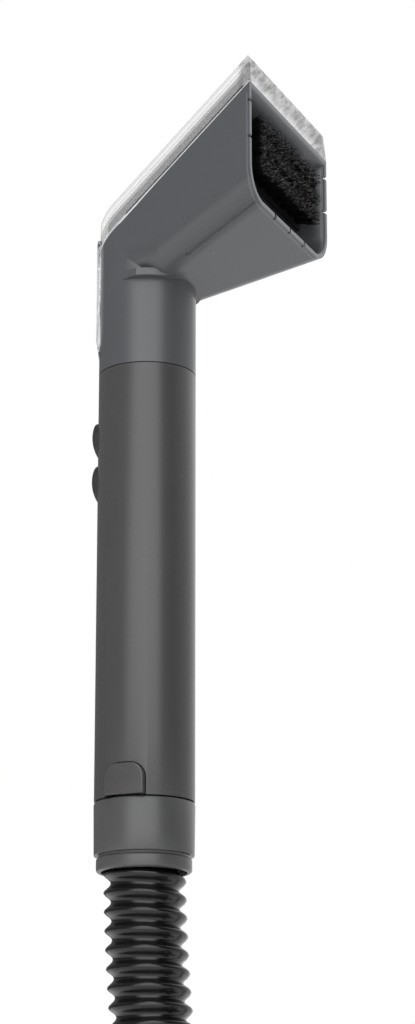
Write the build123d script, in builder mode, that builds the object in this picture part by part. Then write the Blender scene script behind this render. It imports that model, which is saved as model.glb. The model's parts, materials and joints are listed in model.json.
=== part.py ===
from build123d import *
import math
import os

# Hand tool of a carpet and spot cleaner: a tubular handle with two thumb buttons,
# a wedge-shaped suction head with a brush, and a ribbed hose. Millimetres, +Z up
# along the handle, mouth towards +X, buttons towards -X. The origin is the middle
# of the grip. Heights in the names below are counted from the cuff seam, the lower
# end of the handle.

# Handle shell
handle_length = 177.2
handle_radius = 20.0
handle_wall = 2.2
seam_gap = 0.4
body_clearance = 0.3
seam_z = -handle_length / 2
handle_bore = handle_radius - handle_wall

# Thumb buttons, one above the other in one opening
button_setback = 17.8
button_top_height = handle_length - button_setback
upper_button_length = 17.4
lower_button_length = 18.6
button_gap = 0.5
button_width = 16.0
button_corner = 7.4
button_rise = 3.2
button_dome_radius = 15.4
button_peak_shift = 1.2
button_travel = 2.0
button_flange_lip = 1.2
button_flange_thickness = 1.2
button_flange_inset = 2.9
button_flange_x = button_flange_inset - handle_bore
button_foot_x = button_flange_x + button_flange_thickness

# Valve behind the buttons
plunger_radius = 2.5
plunger_clearance = 0.08
valve_width = 15.0
valve_floor = 1.0
valve_margin = 1.5
valve_depth = 6.5
spring_room = 4.6
spring_wire = 0.5
spring_radius = 4.2
spring_turns = 3
spring_clearance = 0.1
valve_front_x = button_foot_x + spring_room
valve_back_x = valve_front_x + valve_depth
screw_radius = 1.2
screw_head_radius = 2.2
screw_head_height = 1.4
screw_bite = 1.2
screw_clearance = 0.1

# Release tabs at the foot of the handle
tab_width = 17.0
tab_height = 12.8
tab_corner = 6.0
tab_rise = 0.6
tab_round = 0.8
tab_travel = 1.2
tab_grip = 0.8
tab_leg_width = 12.0
yoke_thickness = 2.0
yoke_gap = 0.3
yoke_first_height = 3.6
leaf_spring_thickness = 0.3
leaf_spring_width = 3.0
leaf_spring_half_span = 5.0
leaf_spring_rise = 0.6

# Hose cuff, its plug-in spigot and the collar under it
cuff_height = 20.5
cuff_swell = 0.1
cuff_taper = 0.25
cuff_top_radius = handle_radius + cuff_swell
cuff_foot_radius = cuff_top_radius - cuff_taper
spigot_inset = 3.5
spigot_radius = handle_bore - spigot_inset
spigot_wall = 2.7
spigot_bore = spigot_radius - spigot_wall
spigot_top_height = 20.0
spigot_ring_drop = 3.0
spigot_ring_height = spigot_top_height - spigot_ring_drop
collar_groove_height = 1.0
collar_height = 5.9
collar_inset = 1.1
collar_radius = handle_radius - collar_inset
collar_round_share = 0.35
collar_clearance = 0.7
ring_section = 0.75
ring_clearance = 0.08
groove_clearance = 0.05

# Suction duct inside the handle
neck_spigot_depth = 14.0
duct_wall = 1.5
duct_flange = 2.0
duct_flange_radius = handle_bore - body_clearance
duct_radius = duct_flange_radius - body_clearance
manifold_height = 4.0
duct_bottom_height = spigot_top_height + manifold_height
duct_top_gap = 1.2
duct_top_height = handle_length - neck_spigot_depth - duct_top_gap
duct_flat_x = valve_back_x
duct_skirt_gap = 0.5
duct_skirt_height = yoke_first_height + 2 * yoke_thickness + yoke_gap + duct_skirt_gap
duct_skirt_wall = 1.2
leaf_spring_height = duct_skirt_height + leaf_spring_rise

# Liquid tubes, between the duct's flat wall and the handle
tube_radius = 2.0
tube_bore = 1.2
tube_hole_clearance = 0.2
tube_setback = 4.9
tube_x = duct_flat_x - tube_setback
feed_tube_y = 4.5
nipple_rise = 6.0
nipple_height = duct_top_height + nipple_rise
nipple_socket_clearance = 0.3
nipple_socket_wall = 1.1

# Ribbed hose
hose_crest_radius = 16.3
rib_height = 2.9
hose_root_radius = hose_crest_radius - rib_height
hose_wall = 1.4
hose_bore = hose_root_radius - hose_wall
rib_pitch = 7.7
rib_rise_start = 0.30
rib_crest_start = 0.45
rib_crest_end = 0.85
stub_clearance = 0.4
stub_wall = 1.4
stub_length = 14.0
hose_bend_share = 0.45
hose_route = (
    (0.0, 0.0, -4.0),
    (0.0, 0.0, -48.0),
    (6.7, 0.0, -117.7),
    (39.1, 0.0, -184.2),
    (93.7, 0.0, -234.2),
    (162.8, 0.0, -260.7),
    (232.8, 0.0, -260.7),
)
coil_radius = 165.0
coil_rise = 38.0
hose_tail = 33.0
gap_sample = 5.0
line_radius = 3.0
line_bore = 0.9
line_bore_spacing = 2.6

# Tie round the coil and the plug at the hose's far end
tie_thickness = 0.8
tie_width = 18.0
tie_clearance = 0.5
tie_setback = 2.0
plug_swell = 0.8
plug_radius = hose_crest_radius + plug_swell
plug_body_length = 20.0
plug_shoulder = 2.6
plug_nose_radius = plug_radius - plug_shoulder
plug_nose_length = 20.0
plug_seal_gap = 0.4
plug_seal_width = 0.7
plug_seal_bore = plug_nose_radius + plug_seal_gap
plug_seal_radius = plug_seal_bore + plug_seal_width
plug_bridge = 3.0
plug_round = 1.0

# Nozzle head: a neck that plugs into the handle and a fan-shaped mouth
neck_height = 36.8
neck_top_height = handle_length + neck_height
neck_spigot_gap = 0.4
neck_spigot_radius = handle_bore - neck_spigot_gap
neck_spigot_wall = 2.0
neck_spigot_bore = neck_spigot_radius - neck_spigot_wall
neck_ring_drop = 7.0
head_wall = 2.4
mouth_x = 64.0
mouth_half_width = 43.4
mouth_rise = 17.8
mouth_height = 48.8
mouth_bottom_height = neck_top_height + mouth_rise
mouth_top_height = mouth_bottom_height + mouth_height
head_corner = 14.0
heel_x = 15.5
heel_ring_radius = 23.2
heel_ring_height = 3.0
heel_back_x = -9.0
heel_ease = 0.35
head_slope = 0.605
head_duct_inset = 2.4
head_duct_radius = neck_spigot_bore - head_duct_inset
head_duct_gap = 3.0
head_duct_foot_height = duct_top_height + head_duct_gap
head_duct_clearance = 0.2
notch_width = 1.2
notch_depth = 1.4
side_notch_drops = (8.2, 23.9)
heel_notch_spacing = 15.8

# Clear suction cover, and the rail on the head that it is centred by
cover_seal_thickness = 0.6
cover_seal_width = 1.7
cover_inset = 0.3
cover_wall = 2.0
cover_rise = 12.7
cover_round = 1.2
cover_lean = 0.1
cover_tip_height = mouth_top_height + cover_rise
rail_gap = 0.3
rail_thickness = 1.2
rail_height = 3.6
rail_back_x = -2.0
rail_setback = 5.0
tongue_foot_gap = 8.3
tongue_taper = 7.5
tongue_foot_height = handle_length + tongue_foot_gap
tongue_full_height = tongue_foot_height + tongue_taper
tongue_overlap = 6.2
tongue_top_height = mouth_top_height - head_slope * (mouth_x + handle_radius) + tongue_overlap
tongue_clearance = 0.15
tongue_wall = 1.2
tongue_radius = handle_radius + tongue_clearance + tongue_wall
tongue_half_angle = 38.0

# Brush, its plate and the spray tip
plate_setback = 20.0
plate_x = mouth_x - plate_setback
plate_thickness = 2.4
plate_clearance = 0.2
brush_side_gap = 0.9
brush_foot_gap = 14.2
brush_head_gap = 9.1
brush_low_height = mouth_bottom_height + brush_foot_gap
brush_high_height = mouth_top_height - brush_head_gap
brush_setback = 9.5
brush_block_front_x = mouth_x - brush_setback
brush_slice = 1.0
brush_reach = 1.5
tip_x = mouth_x + brush_reach
tuft_columns = 8
tuft_rows = 3
strands_per_tuft = 16
tuft_root_radius = 2.5
tuft_tip_radius = 3.7
strand_root_width = 0.55
strand_tip_width = 0.35
spray_tip_rise = 8.2
spray_tip_height = mouth_bottom_height + spray_tip_rise
spray_tip_radius = 3.0
spray_tip_tail = 6.0
spray_tip_reach = 8.0
spray_tip_back_x = plate_x - spray_tip_tail
spray_tip_front_x = plate_x + spray_tip_reach
spray_tip_cone = 2.0
spray_tip_hole = 0.6
spray_tip_flange_radius = 4.2
spray_tip_flange_thickness = 1.2

# Route of the spray line from the neck nipple round the duct, up from the neck's top
spray_line_points = (
    (-7.5, 0.0, -9.0),
    (-7.5, 13.2, 5.0),
    (3.5, 16.9, 14.0),
    (18.0, 12.0, 18.0),
)
spray_line_lead = 10.0
spray_line_radius = 3.2


def level(height):
    """Horizontal plane at a height above the cuff seam."""
    return Plane.XY.offset(seam_z + height)


def section_plane(x):
    """Upright plane across the head, with its sketch Y axis up."""
    return Plane(origin=(x, 0, 0), x_dir=(0, 1, 0), z_dir=(1, 0, 0))


def button_plane(height):
    """Plane that faces the thumb, on the handle's axis."""
    return Plane(origin=(0, 0, seam_z + height), x_dir=(0, 0, 1), z_dir=(-1, 0, 0))


def side_plane(side):
    """Plane that faces outwards on one side of the handle: +1 is left (+Y)."""
    return Plane(origin=(0, 0, seam_z), x_dir=(-side, 0, 0), z_dir=(0, side, 0))


def profile_plane(height=0.0, angle=0.0):
    """Upright plane through the handle's axis, with radius along X and height along Y."""
    turn = math.radians(angle)
    return Plane(
        origin=(0, 0, seam_z + height),
        x_dir=(math.cos(turn), math.sin(turn), 0),
        z_dir=(math.sin(turn), -math.cos(turn), 0),
    )


def d_outline(radius, flat_x):
    """A circle with its -X side cut off along a straight wall."""
    Circle(radius)
    with Locations((flat_x, 0)):
        Rectangle(radius, 2 * radius, align=(Align.MAX, Align.CENTER), mode=Mode.SUBTRACT)


def tab_outline(width, height, corner):
    """A tab with a round top and an open foot on the seam."""
    with BuildLine() as outline:
        FilletPolyline(
            (-width / 2, 0),
            (-width / 2, height),
            (width / 2, height),
            (width / 2, 0),
            radius=corner,
        )
        Line((width / 2, 0), (-width / 2, 0))
    make_face(outline.edges())


# Fan angle of the head: its sides are tangent to the neck and end at the mouth
mouth_reach = math.hypot(mouth_x, mouth_half_width)
fan_angle = math.atan2(mouth_half_width, mouth_x) - math.asin(handle_radius / mouth_reach)


def fan_half_width(x, inset=0.0):
    """Half width of the head at a place along X, less a wall."""
    return (handle_radius - inset + x * math.sin(fan_angle)) / math.cos(fan_angle)


def fan_outline(inset, front_x, mode=Mode.ADD):
    """Plan of the head: a round back and straight sides that fan out to the front."""
    radius = handle_radius - inset
    tangent_x = -radius * math.sin(fan_angle)
    tangent_y = radius * math.cos(fan_angle)
    front_y = fan_half_width(front_x, inset)
    with BuildLine() as outline:
        ThreePointArc((tangent_x, tangent_y), (-radius, 0), (tangent_x, -tangent_y))
        Polyline(
            (tangent_x, -tangent_y),
            (front_x, -front_y),
            (front_x, front_y),
            (tangent_x, tangent_y),
        )
    make_face(outline.edges(), mode=mode)


def top_plane(lift):
    """The head's slanted top, lifted straight up by an amount."""
    origin = (mouth_x, 0, seam_z + mouth_top_height + lift)
    return Plane(origin=origin, x_dir=(1, 0, head_slope), z_dir=(-head_slope, 0, 1))


def underside_plane():
    """The flat of the head's underside, which rises from the heel to the mouth."""
    slope = mouth_rise / (mouth_x - heel_x)
    origin = (heel_x, 0, seam_z + neck_top_height)
    return Plane(origin=origin, x_dir=(1, 0, slope), z_dir=(-slope, 0, 1))


def cover_front():
    """The clear cover's front, which leans back from the mouth's upper edge."""
    origin = (mouth_x, 0, seam_z + mouth_top_height)
    return Plane(origin=origin, x_dir=(0, 1, 0), z_dir=(1, 0, cover_lean))


def head_section(x, inset):
    """Cross section of the head: square top corners and round bottom ones."""
    along = max(0.0, (x - heel_x) / (mouth_x - heel_x))
    low = seam_z + neck_top_height + along * mouth_rise + inset
    high = seam_z + mouth_top_height - head_slope * (mouth_x - x) - inset
    half = fan_half_width(x, inset)
    with BuildLine() as outline:
        FilletPolyline(
            (-half, high), (-half, low), (half, low), (half, high), radius=head_corner - inset
        )
        Line((half, high), (-half, high))
    make_face(outline.edges())


# Handle shell with the button opening and the two tab notches
button_bottom_height = button_top_height - upper_button_length - button_gap - lower_button_length
upper_button_height = button_top_height - upper_button_length / 2
lower_button_height = button_bottom_height + lower_button_length / 2
opening_height = (button_top_height + button_bottom_height) / 2
opening_length = button_top_height - button_bottom_height + 2 * body_clearance
with BuildPart() as handle_tube:
    with BuildSketch(level(0)):
        Circle(handle_radius)
        Circle(handle_bore, mode=Mode.SUBTRACT)
    extrude(amount=handle_length)
    with BuildSketch(button_plane(opening_height)):
        RectangleRounded(
            opening_length, button_width + 2 * body_clearance, button_corner + body_clearance
        )
    extrude(amount=2 * handle_radius, mode=Mode.SUBTRACT)
    for side in (1, -1):
        with BuildSketch(side_plane(side)):
            tab_outline(
                tab_width + 2 * body_clearance,
                tab_height + body_clearance,
                tab_corner + body_clearance,
            )
        extrude(amount=2 * handle_radius, mode=Mode.SUBTRACT)


# Thumb buttons: a domed cap, a flange that keeps it in, and a plunger into the valve
plunger_end_x = valve_back_x - valve_floor - button_travel - body_clearance


def make_button(height, length):
    crown_x = handle_radius + button_rise
    with BuildPart() as button:
        with BuildSketch(button_plane(height).offset(-button_flange_x)):
            RectangleRounded(length, button_width, button_corner)
        extrude(amount=2 * crown_x + button_flange_x)
        dome_centre = (button_dome_radius - crown_x, 0, seam_z + height + button_peak_shift)
        with Locations(dome_centre):
            Sphere(button_dome_radius, mode=Mode.INTERSECT)
        with BuildSketch(button_plane(height).offset(-button_foot_x)):
            Rectangle(length, button_width + 2 * button_flange_lip)
        extrude(amount=button_flange_thickness)
    return button


def make_plunger(height):
    with BuildPart() as plunger:
        with BuildSketch(button_plane(height).offset(-button_foot_x)):
            Circle(plunger_radius)
        extrude(amount=button_foot_x - plunger_end_x)
        chamfer(plunger.edges().sort_by(Axis.X)[-1], plunger_radius / 4)
    return plunger


def make_button_spring(height):
    inset = spring_wire / 2 + spring_clearance
    room = spring_room - 2 * inset
    with BuildPart() as spring:
        with BuildLine() as curl:
            Helix(
                room / spring_turns,
                room,
                spring_radius,
                center=(button_foot_x + inset, 0, seam_z + height),
                direction=(1, 0, 0),
            )
        with BuildSketch(Plane(origin=curl.line @ 0, z_dir=curl.line % 0)):
            Circle(spring_wire / 2)
        sweep(is_frenet=True)
    return spring


upper_button = make_button(upper_button_height, upper_button_length)
lower_button = make_button(lower_button_height, lower_button_length)
upper_valve_plunger = make_plunger(upper_button_height)
lower_valve_plunger = make_plunger(lower_button_height)
upper_button_spring = make_button_spring(upper_button_height)
lower_button_spring = make_button_spring(lower_button_height)

# Valve block on the duct's flat wall, with a blind bore behind each button
valve_length = button_top_height - button_bottom_height - 2 * valve_margin
valve_centre_x = (valve_back_x + valve_front_x) / 2
valve_bottom_height = opening_height - valve_length / 2
valve_top_height = opening_height + valve_length / 2
screw_height = (upper_button_height + lower_button_height) / 2
screw_y = valve_width / 2 - screw_head_radius - valve_floor
with BuildPart() as valve_block:
    with BuildSketch(level(valve_bottom_height)):
        with Locations((valve_centre_x, 0)):
            Rectangle(valve_depth, valve_width)
    extrude(amount=valve_length)
    for height in (upper_button_height, lower_button_height):
        with BuildSketch(button_plane(height).offset(-valve_front_x)):
            Circle(plunger_radius + plunger_clearance)
        extrude(amount=-(valve_depth - valve_floor), mode=Mode.SUBTRACT)
    with BuildSketch(button_plane(screw_height).offset(-valve_front_x)):
        with Locations((0, screw_y), (0, -screw_y)):
            Circle(screw_radius + screw_clearance)
    extrude(amount=-valve_depth, mode=Mode.SUBTRACT)

# Two screws hold the valve block to the duct
with BuildPart() as valve_screws:
    with BuildSketch(button_plane(screw_height).offset(-valve_front_x)):
        with Locations((0, screw_y), (0, -screw_y)):
            Circle(screw_head_radius)
    extrude(amount=screw_head_height)
    with BuildSketch(button_plane(screw_height).offset(-valve_front_x)):
        with Locations((0, screw_y), (0, -screw_y)):
            Circle(screw_radius)
    extrude(amount=-(valve_depth + screw_bite))

# Suction duct: a D-shaped tube between two round flanges, with a socket skirt below
tube_hole = tube_radius + tube_hole_clearance
skirt_bore = spigot_radius + body_clearance
with BuildPart() as suction_duct:
    with BuildSketch(level(duct_bottom_height)):
        d_outline(duct_radius, duct_flat_x)
    extrude(amount=duct_top_height - duct_bottom_height)
    for height in (duct_bottom_height, duct_top_height - duct_flange):
        with BuildSketch(level(height)):
            Circle(duct_flange_radius)
        extrude(amount=duct_flange)
    with BuildSketch(level(duct_skirt_height)):
        Circle(skirt_bore + duct_skirt_wall)
        Circle(skirt_bore, mode=Mode.SUBTRACT)
    extrude(amount=duct_bottom_height - duct_skirt_height)
    with BuildSketch(level(duct_bottom_height)):
        d_outline(spigot_bore, duct_flat_x + duct_wall)
    extrude(amount=duct_flange, mode=Mode.SUBTRACT)
    with BuildSketch(level(duct_bottom_height + duct_flange)):
        d_outline(duct_radius - duct_wall, duct_flat_x + duct_wall)
    extrude(amount=duct_top_height - duct_bottom_height - 2 * duct_flange, mode=Mode.SUBTRACT)
    with BuildSketch(level(duct_top_height - duct_flange)):
        d_outline(head_duct_radius - duct_wall, duct_flat_x + duct_wall)
    extrude(amount=duct_flange, mode=Mode.SUBTRACT)
    with BuildSketch(level(duct_bottom_height)):
        with Locations((tube_x, feed_tube_y), (tube_x, -feed_tube_y)):
            Circle(tube_hole)
    extrude(amount=duct_flange, mode=Mode.SUBTRACT)
    with BuildSketch(level(duct_top_height - duct_flange)):
        with Locations((tube_x, 0)):
            Circle(tube_hole)
    extrude(amount=duct_flange, mode=Mode.SUBTRACT)
    with BuildSketch(button_plane(screw_height).offset(-duct_flat_x)):
        with Locations((0, screw_y), (0, -screw_y)):
            Circle(screw_radius + screw_clearance)
    extrude(amount=-duct_wall, mode=Mode.SUBTRACT)


# Liquid tubes: two feeds from the hose end to the valve, one riser to the head
def make_tube(y, low_height, high_height):
    with BuildPart() as tube:
        with BuildSketch(level(low_height)):
            with Locations((tube_x, y)):
                Circle(tube_radius)
                Circle(tube_bore, mode=Mode.SUBTRACT)
        extrude(amount=high_height - low_height)
    return tube


solution_feed_tube = make_tube(feed_tube_y, duct_bottom_height, valve_bottom_height)
rinse_feed_tube = make_tube(-feed_tube_y, duct_bottom_height, valve_bottom_height)
spray_riser_tube = make_tube(0, valve_top_height, nipple_height)

# Manifold: a bridge under the duct that takes the hose's twin line to the two feeds
manifold_top_height = duct_bottom_height
with BuildPart() as line_manifold:
    with BuildSketch(level(manifold_top_height - manifold_height)):
        with Locations((tube_x / 2, 0)):
            Rectangle(-tube_x + 2 * tube_radius, 2 * feed_tube_y + 2 * tube_radius)
    extrude(amount=manifold_height)
    with BuildSketch(level(manifold_top_height - manifold_height)):
        with Locations((tube_x, feed_tube_y), (tube_x, -feed_tube_y)):
            Circle(tube_bore)
        with Locations((0, line_bore_spacing / 2), (0, -line_bore_spacing / 2)):
            Circle(line_bore)
    extrude(amount=manifold_height, mode=Mode.SUBTRACT)
    fillet(line_manifold.edges().filter_by(Axis.Z).sort_by(Axis.X)[-2:], tube_radius / 2)


# Release tabs: each flat tab carries a yoke ring that hooks into the cuff's spigot
yoke_far_edge = spigot_radius - tab_grip
yoke_near_edge = spigot_radius + body_clearance + tab_travel
yoke_hole_radius = (yoke_far_edge + yoke_near_edge) / 2
yoke_hole_shift = (yoke_near_edge - yoke_far_edge) / 2
yoke_outer_near = handle_bore - body_clearance
yoke_outer_far = handle_bore - 2 * tab_travel - 2 * body_clearance
yoke_radius = handle_bore - body_clearance - tab_travel


def make_release_tab(side, yoke_height):
    with BuildPart() as tab:
        with BuildSketch(side_plane(side)):
            tab_outline(tab_width, tab_height, tab_corner)
        extrude(amount=handle_radius + tab_rise)
        with BuildSketch(level(body_clearance)):
            Circle(2 * handle_radius)
            Circle(handle_bore, mode=Mode.SUBTRACT)
        extrude(amount=tab_height, mode=Mode.INTERSECT)
        outer_face = tab.faces().sort_by(Axis((0, 0, 0), (0, side, 0)))[-1]
        fillet(outer_face.edges(), tab_round)
        with BuildSketch(level(yoke_height)):
            with Locations((0, side * (yoke_outer_near - yoke_radius))):
                Circle(yoke_radius)
            with Locations((0, side * yoke_hole_radius)):
                Rectangle(tab_leg_width, 2 * (handle_bore - yoke_hole_radius) + tab_grip)
            with Locations((0, -side * (yoke_outer_far + handle_radius))):
                Rectangle(2 * handle_radius, 2 * handle_radius, mode=Mode.SUBTRACT)
            with Locations((0, side * yoke_hole_shift)):
                Circle(yoke_hole_radius, mode=Mode.SUBTRACT)
        extrude(amount=yoke_thickness)
    return tab


# A bowed leaf spring behind each tab leans on the duct's skirt and pushes the tab out
def make_tab_spring(side):
    crown_y = handle_bore - leaf_spring_thickness
    skirt_radius = skirt_bore + duct_skirt_wall
    foot_y = math.sqrt(skirt_radius**2 - leaf_spring_half_span**2) + body_clearance
    with BuildPart() as spring:
        with BuildSketch(level(leaf_spring_height)):
            with BuildLine():
                inner = ThreePointArc(
                    (-leaf_spring_half_span, side * foot_y),
                    (0, side * (crown_y - leaf_spring_thickness)),
                    (leaf_spring_half_span, side * foot_y),
                )
                outer = ThreePointArc(
                    (-leaf_spring_half_span, side * (foot_y + leaf_spring_thickness)),
                    (0, side * crown_y),
                    (leaf_spring_half_span, side * (foot_y + leaf_spring_thickness)),
                )
                Line(inner @ 0, outer @ 0)
                Line(inner @ 1, outer @ 1)
            make_face()
        extrude(amount=leaf_spring_width)
    return spring


right_release_tab = make_release_tab(-1, yoke_first_height)
left_release_tab = make_release_tab(1, yoke_first_height + yoke_thickness + yoke_gap)
right_tab_spring = make_tab_spring(-1)
left_tab_spring = make_tab_spring(1)


# Rubber rings: a round section in a groove of its own
def make_ring(height, centre_radius):
    with BuildPart() as ring:
        with BuildSketch(profile_plane(height)):
            with Locations((centre_radius, 0)):
                Circle(ring_section)
        revolve(axis=Axis.Z)
    return ring


def cut_ring_groove(height, centre_radius, outer_radius):
    """Cut the groove that a ring sits in, out of the part that is being built."""
    half = ring_section + groove_clearance
    with BuildSketch(level(height - half)) as groove:
        Circle(outer_radius + groove_clearance)
        Circle(centre_radius - half, mode=Mode.SUBTRACT)
    extrude(groove.sketch, amount=2 * half, mode=Mode.SUBTRACT)


# Hose cuff: the outer sleeve, the spigot that plugs into the handle and the hose stub
cuff_ring_radius = skirt_bore - ring_clearance - ring_section
stub_radius = hose_bore - stub_clearance
hose_top_height = hose_route[0][-1]
hose_socket_radius = hose_crest_radius + collar_clearance
collar_top_height = -cuff_height - collar_groove_height
collar_groove_radius = (hose_socket_radius + collar_radius) / 2
yoke_groove_radius = yoke_far_edge - body_clearance
yoke_groove_height = 2 * yoke_thickness + yoke_gap + 2 * body_clearance
with BuildPart() as hose_cuff:
    with BuildSketch(profile_plane()):
        with BuildLine():
            Polyline(
                (spigot_bore, spigot_top_height),
                (spigot_radius, spigot_top_height),
                (spigot_radius, -seam_gap),
                (cuff_top_radius, -seam_gap),
                (cuff_foot_radius, -cuff_height),
                (collar_groove_radius, -cuff_height),
                (collar_groove_radius, collar_top_height),
                (hose_socket_radius, collar_top_height),
                (hose_socket_radius, hose_top_height),
                (stub_radius, hose_top_height),
                (stub_radius, hose_top_height - stub_length),
                (stub_radius - stub_wall, hose_top_height - stub_length),
                (stub_radius - stub_wall, hose_top_height + stub_wall),
                (spigot_bore, hose_top_height + 2 * stub_wall),
                close=True,
            )
        make_face()
    revolve(axis=Axis.Z)
    cut_ring_groove(spigot_ring_height, cuff_ring_radius, spigot_radius)
    with BuildSketch(level(yoke_first_height - body_clearance)):
        Circle(spigot_radius + groove_clearance)
        Circle(yoke_groove_radius, mode=Mode.SUBTRACT)
    extrude(amount=yoke_groove_height, mode=Mode.SUBTRACT)
cuff_o_ring = make_ring(spigot_ring_height, cuff_ring_radius)

# Collar under the cuff, round the hose's mouth
with BuildPart() as hose_collar:
    with BuildSketch(level(collar_top_height)):
        Circle(collar_radius)
        Circle(hose_socket_radius, mode=Mode.SUBTRACT)
    extrude(amount=-collar_height)
    lower_edge = hose_collar.edges().group_by(Axis.Z)[0].sort_by(SortBy.RADIUS)[-1]
    fillet(lower_edge, (collar_radius - hose_socket_radius) * collar_round_share)

# Route of the hose: it hangs from the cuff, bends to the floor and lies in one coil
route = [Vector(x, y, seam_z + height) for x, y, height in hose_route]
bend_radii = []
for before, corner, after in zip(route, route[1:], route[2:]):
    shorter = min((corner - before).length, (after - corner).length)
    half_turn = math.radians((corner - before).get_angle(after - corner)) / 2
    bend_radii.append(hose_bend_share * shorter / math.tan(half_turn))
print("hose bend radii, mm:", [round(radius) for radius in bend_radii])
coil_start = route[-1]
coil_far = coil_start + Vector(0, 2 * coil_radius, 0)
coil_end = coil_start + Vector(0, 0, coil_rise)
hose_end = coil_end + Vector(hose_tail, 0, 0)
rising_radius = (coil_far - coil_end).length / 2


def drop_line():
    FilletPolyline(*route, radius=bend_radii)


def coil_line():
    """Half a turn on the floor, half a turn that climbs onto its start, and the tail."""
    ThreePointArc(coil_start, coil_start + Vector(coil_radius, coil_radius, 0), coil_far)
    ThreePointArc(coil_far, (coil_far + coil_end) / 2 - Vector(rising_radius, 0, 0), coil_end)
    Line(coil_end, hose_end)


def hose_rings(line, steady_x):
    """Planes and radii of the rings that shape the ribs along a line."""
    ribs = round(line.length / rib_pitch)
    step = line.length / ribs
    rings = []
    for rib in range(ribs):
        for share, radius in (
            (0.0, hose_root_radius),
            (rib_rise_start, hose_root_radius),
            (rib_crest_start, hose_crest_radius),
            (rib_crest_end, hose_crest_radius),
        ):
            rings.append(((rib + share) * step, radius))
    rings.append((line.length, hose_root_radius))
    planes = []
    for distance, radius in rings:
        place = line.position_at(distance, position_mode=PositionMode.LENGTH)
        along = line.tangent_at(distance, position_mode=PositionMode.LENGTH)
        planes.append((Plane(origin=place, x_dir=steady_x, z_dir=along), radius))
    return planes


def make_hose(draw_line, steady_x):
    with BuildPart() as hose:
        with BuildLine() as middle:
            draw_line()
        path = middle.wire()
        rings = hose_rings(path, steady_x)
        for plane, radius in rings:
            with BuildSketch(plane):
                Circle(radius)
        loft(ruled=True)
        with BuildSketch(rings[0][0]):
            Circle(hose_bore)
        sweep(path=path, mode=Mode.SUBTRACT)
    print("hose stretch, mm:", round(path.length, 1), "volume, mm3:", round(hose.part.volume))
    return hose


hose_drop = make_hose(drop_line, (0, 1, 0))
hose_coil = make_hose(coil_line, (0, 0, 1))


def least_gap():
    """Least gap between two stretches of the hose that aren't neighbours, on points."""
    with BuildLine() as middle:
        drop_line()
        coil_line()
    path = middle.wire()
    count = round(path.length / gap_sample)
    places = [path.position_at(number / count) for number in range(count + 1)]
    apart = round(coil_radius / gap_sample)
    distances = []
    for number, place in enumerate(places):
        distances.extend((place - other).length for other in places[number + apart:])
    return min(distances) - 2 * hose_crest_radius


print("least gap of the hose to itself, mm:", round(least_gap(), 1))

# Twin-bore liquid line inside the hose, from the manifold to the plug
plug_front = hose_end + Vector(plug_body_length + plug_nose_length, 0, 0)
with BuildPart() as solution_line:
    with BuildLine() as line_path:
        FilletPolyline(Vector(0, 0, seam_z + spigot_top_height), *route[1:], radius=bend_radii)
        coil_line()
        Line(hose_end, plug_front)
    with BuildSketch(level(spigot_top_height)):
        Circle(line_radius)
        with Locations((0, line_bore_spacing / 2), (0, -line_bore_spacing / 2)):
            Circle(line_bore, mode=Mode.SUBTRACT)
    sweep(path=line_path.wire())

# Strap that ties the coil's end to its start
with BuildPart() as coil_tie:
    tie_middle = (coil_start + coil_end) / 2 - Vector(tie_setback + tie_width / 2, 0, 0)
    tie_inside = hose_crest_radius + tie_clearance
    with BuildSketch(Plane(origin=tie_middle, x_dir=(0, 0, 1), z_dir=(1, 0, 0))):
        SlotCenterToCenter(coil_rise, 2 * (tie_inside + tie_thickness))
        SlotCenterToCenter(coil_rise, 2 * tie_inside, mode=Mode.SUBTRACT)
    extrude(amount=tie_width)

# Plug at the far end of the hose, for the machine's port
def plug_plane(distance):
    """Plane across the plug, at a distance past the hose's end."""
    return Plane(origin=hose_end + Vector(distance, 0, 0), x_dir=(0, 1, 0), z_dir=(1, 0, 0))


plug_length = plug_body_length + plug_nose_length
with BuildPart() as machine_plug:
    with BuildSketch(plug_plane(0)):
        Circle(plug_radius)
    extrude(amount=plug_body_length)
    fillet(machine_plug.edges().filter_by(GeomType.CIRCLE), plug_round)
    with BuildSketch(plug_plane(-stub_length)):
        Circle(stub_radius)
    extrude(amount=stub_length + plug_round)
    with BuildSketch(plug_plane(plug_body_length - plug_round)):
        Circle(plug_nose_radius)
    extrude(amount=plug_nose_length + plug_round)
    with BuildSketch(plug_plane(-stub_length)):
        Circle(stub_radius - stub_wall)
    extrude(amount=stub_length + plug_length, mode=Mode.SUBTRACT)
    with BuildSketch(plug_plane(0)):
        Rectangle(2 * stub_radius, plug_bridge)
        Circle(line_radius + tube_hole_clearance, mode=Mode.SUBTRACT)
    extrude(amount=plug_length)
    with BuildSketch(plug_plane(plug_body_length - 2 * ring_section)):
        Circle(plug_seal_radius + groove_clearance)
        Circle(plug_seal_bore - groove_clearance, mode=Mode.SUBTRACT)
    extrude(amount=2 * ring_section, mode=Mode.SUBTRACT)

# Seal ring let into the plug's shoulder, at the root of the nose
with BuildPart() as plug_seal:
    with BuildSketch(plug_plane(plug_body_length - 2 * ring_section)):
        Circle(plug_seal_radius)
        Circle(plug_seal_bore, mode=Mode.SUBTRACT)
    extrude(amount=2 * ring_section)

# Hollow of the neck, up to the slanted roof of the head
with BuildPart() as back_hollow:
    with BuildSketch(level(handle_length + seam_gap + head_wall)):
        Circle(handle_radius - head_wall)
    extrude(amount=mouth_top_height - handle_length)
    split(bisect_by=top_plane(-head_wall), keep=Keep.BOTTOM)

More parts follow.
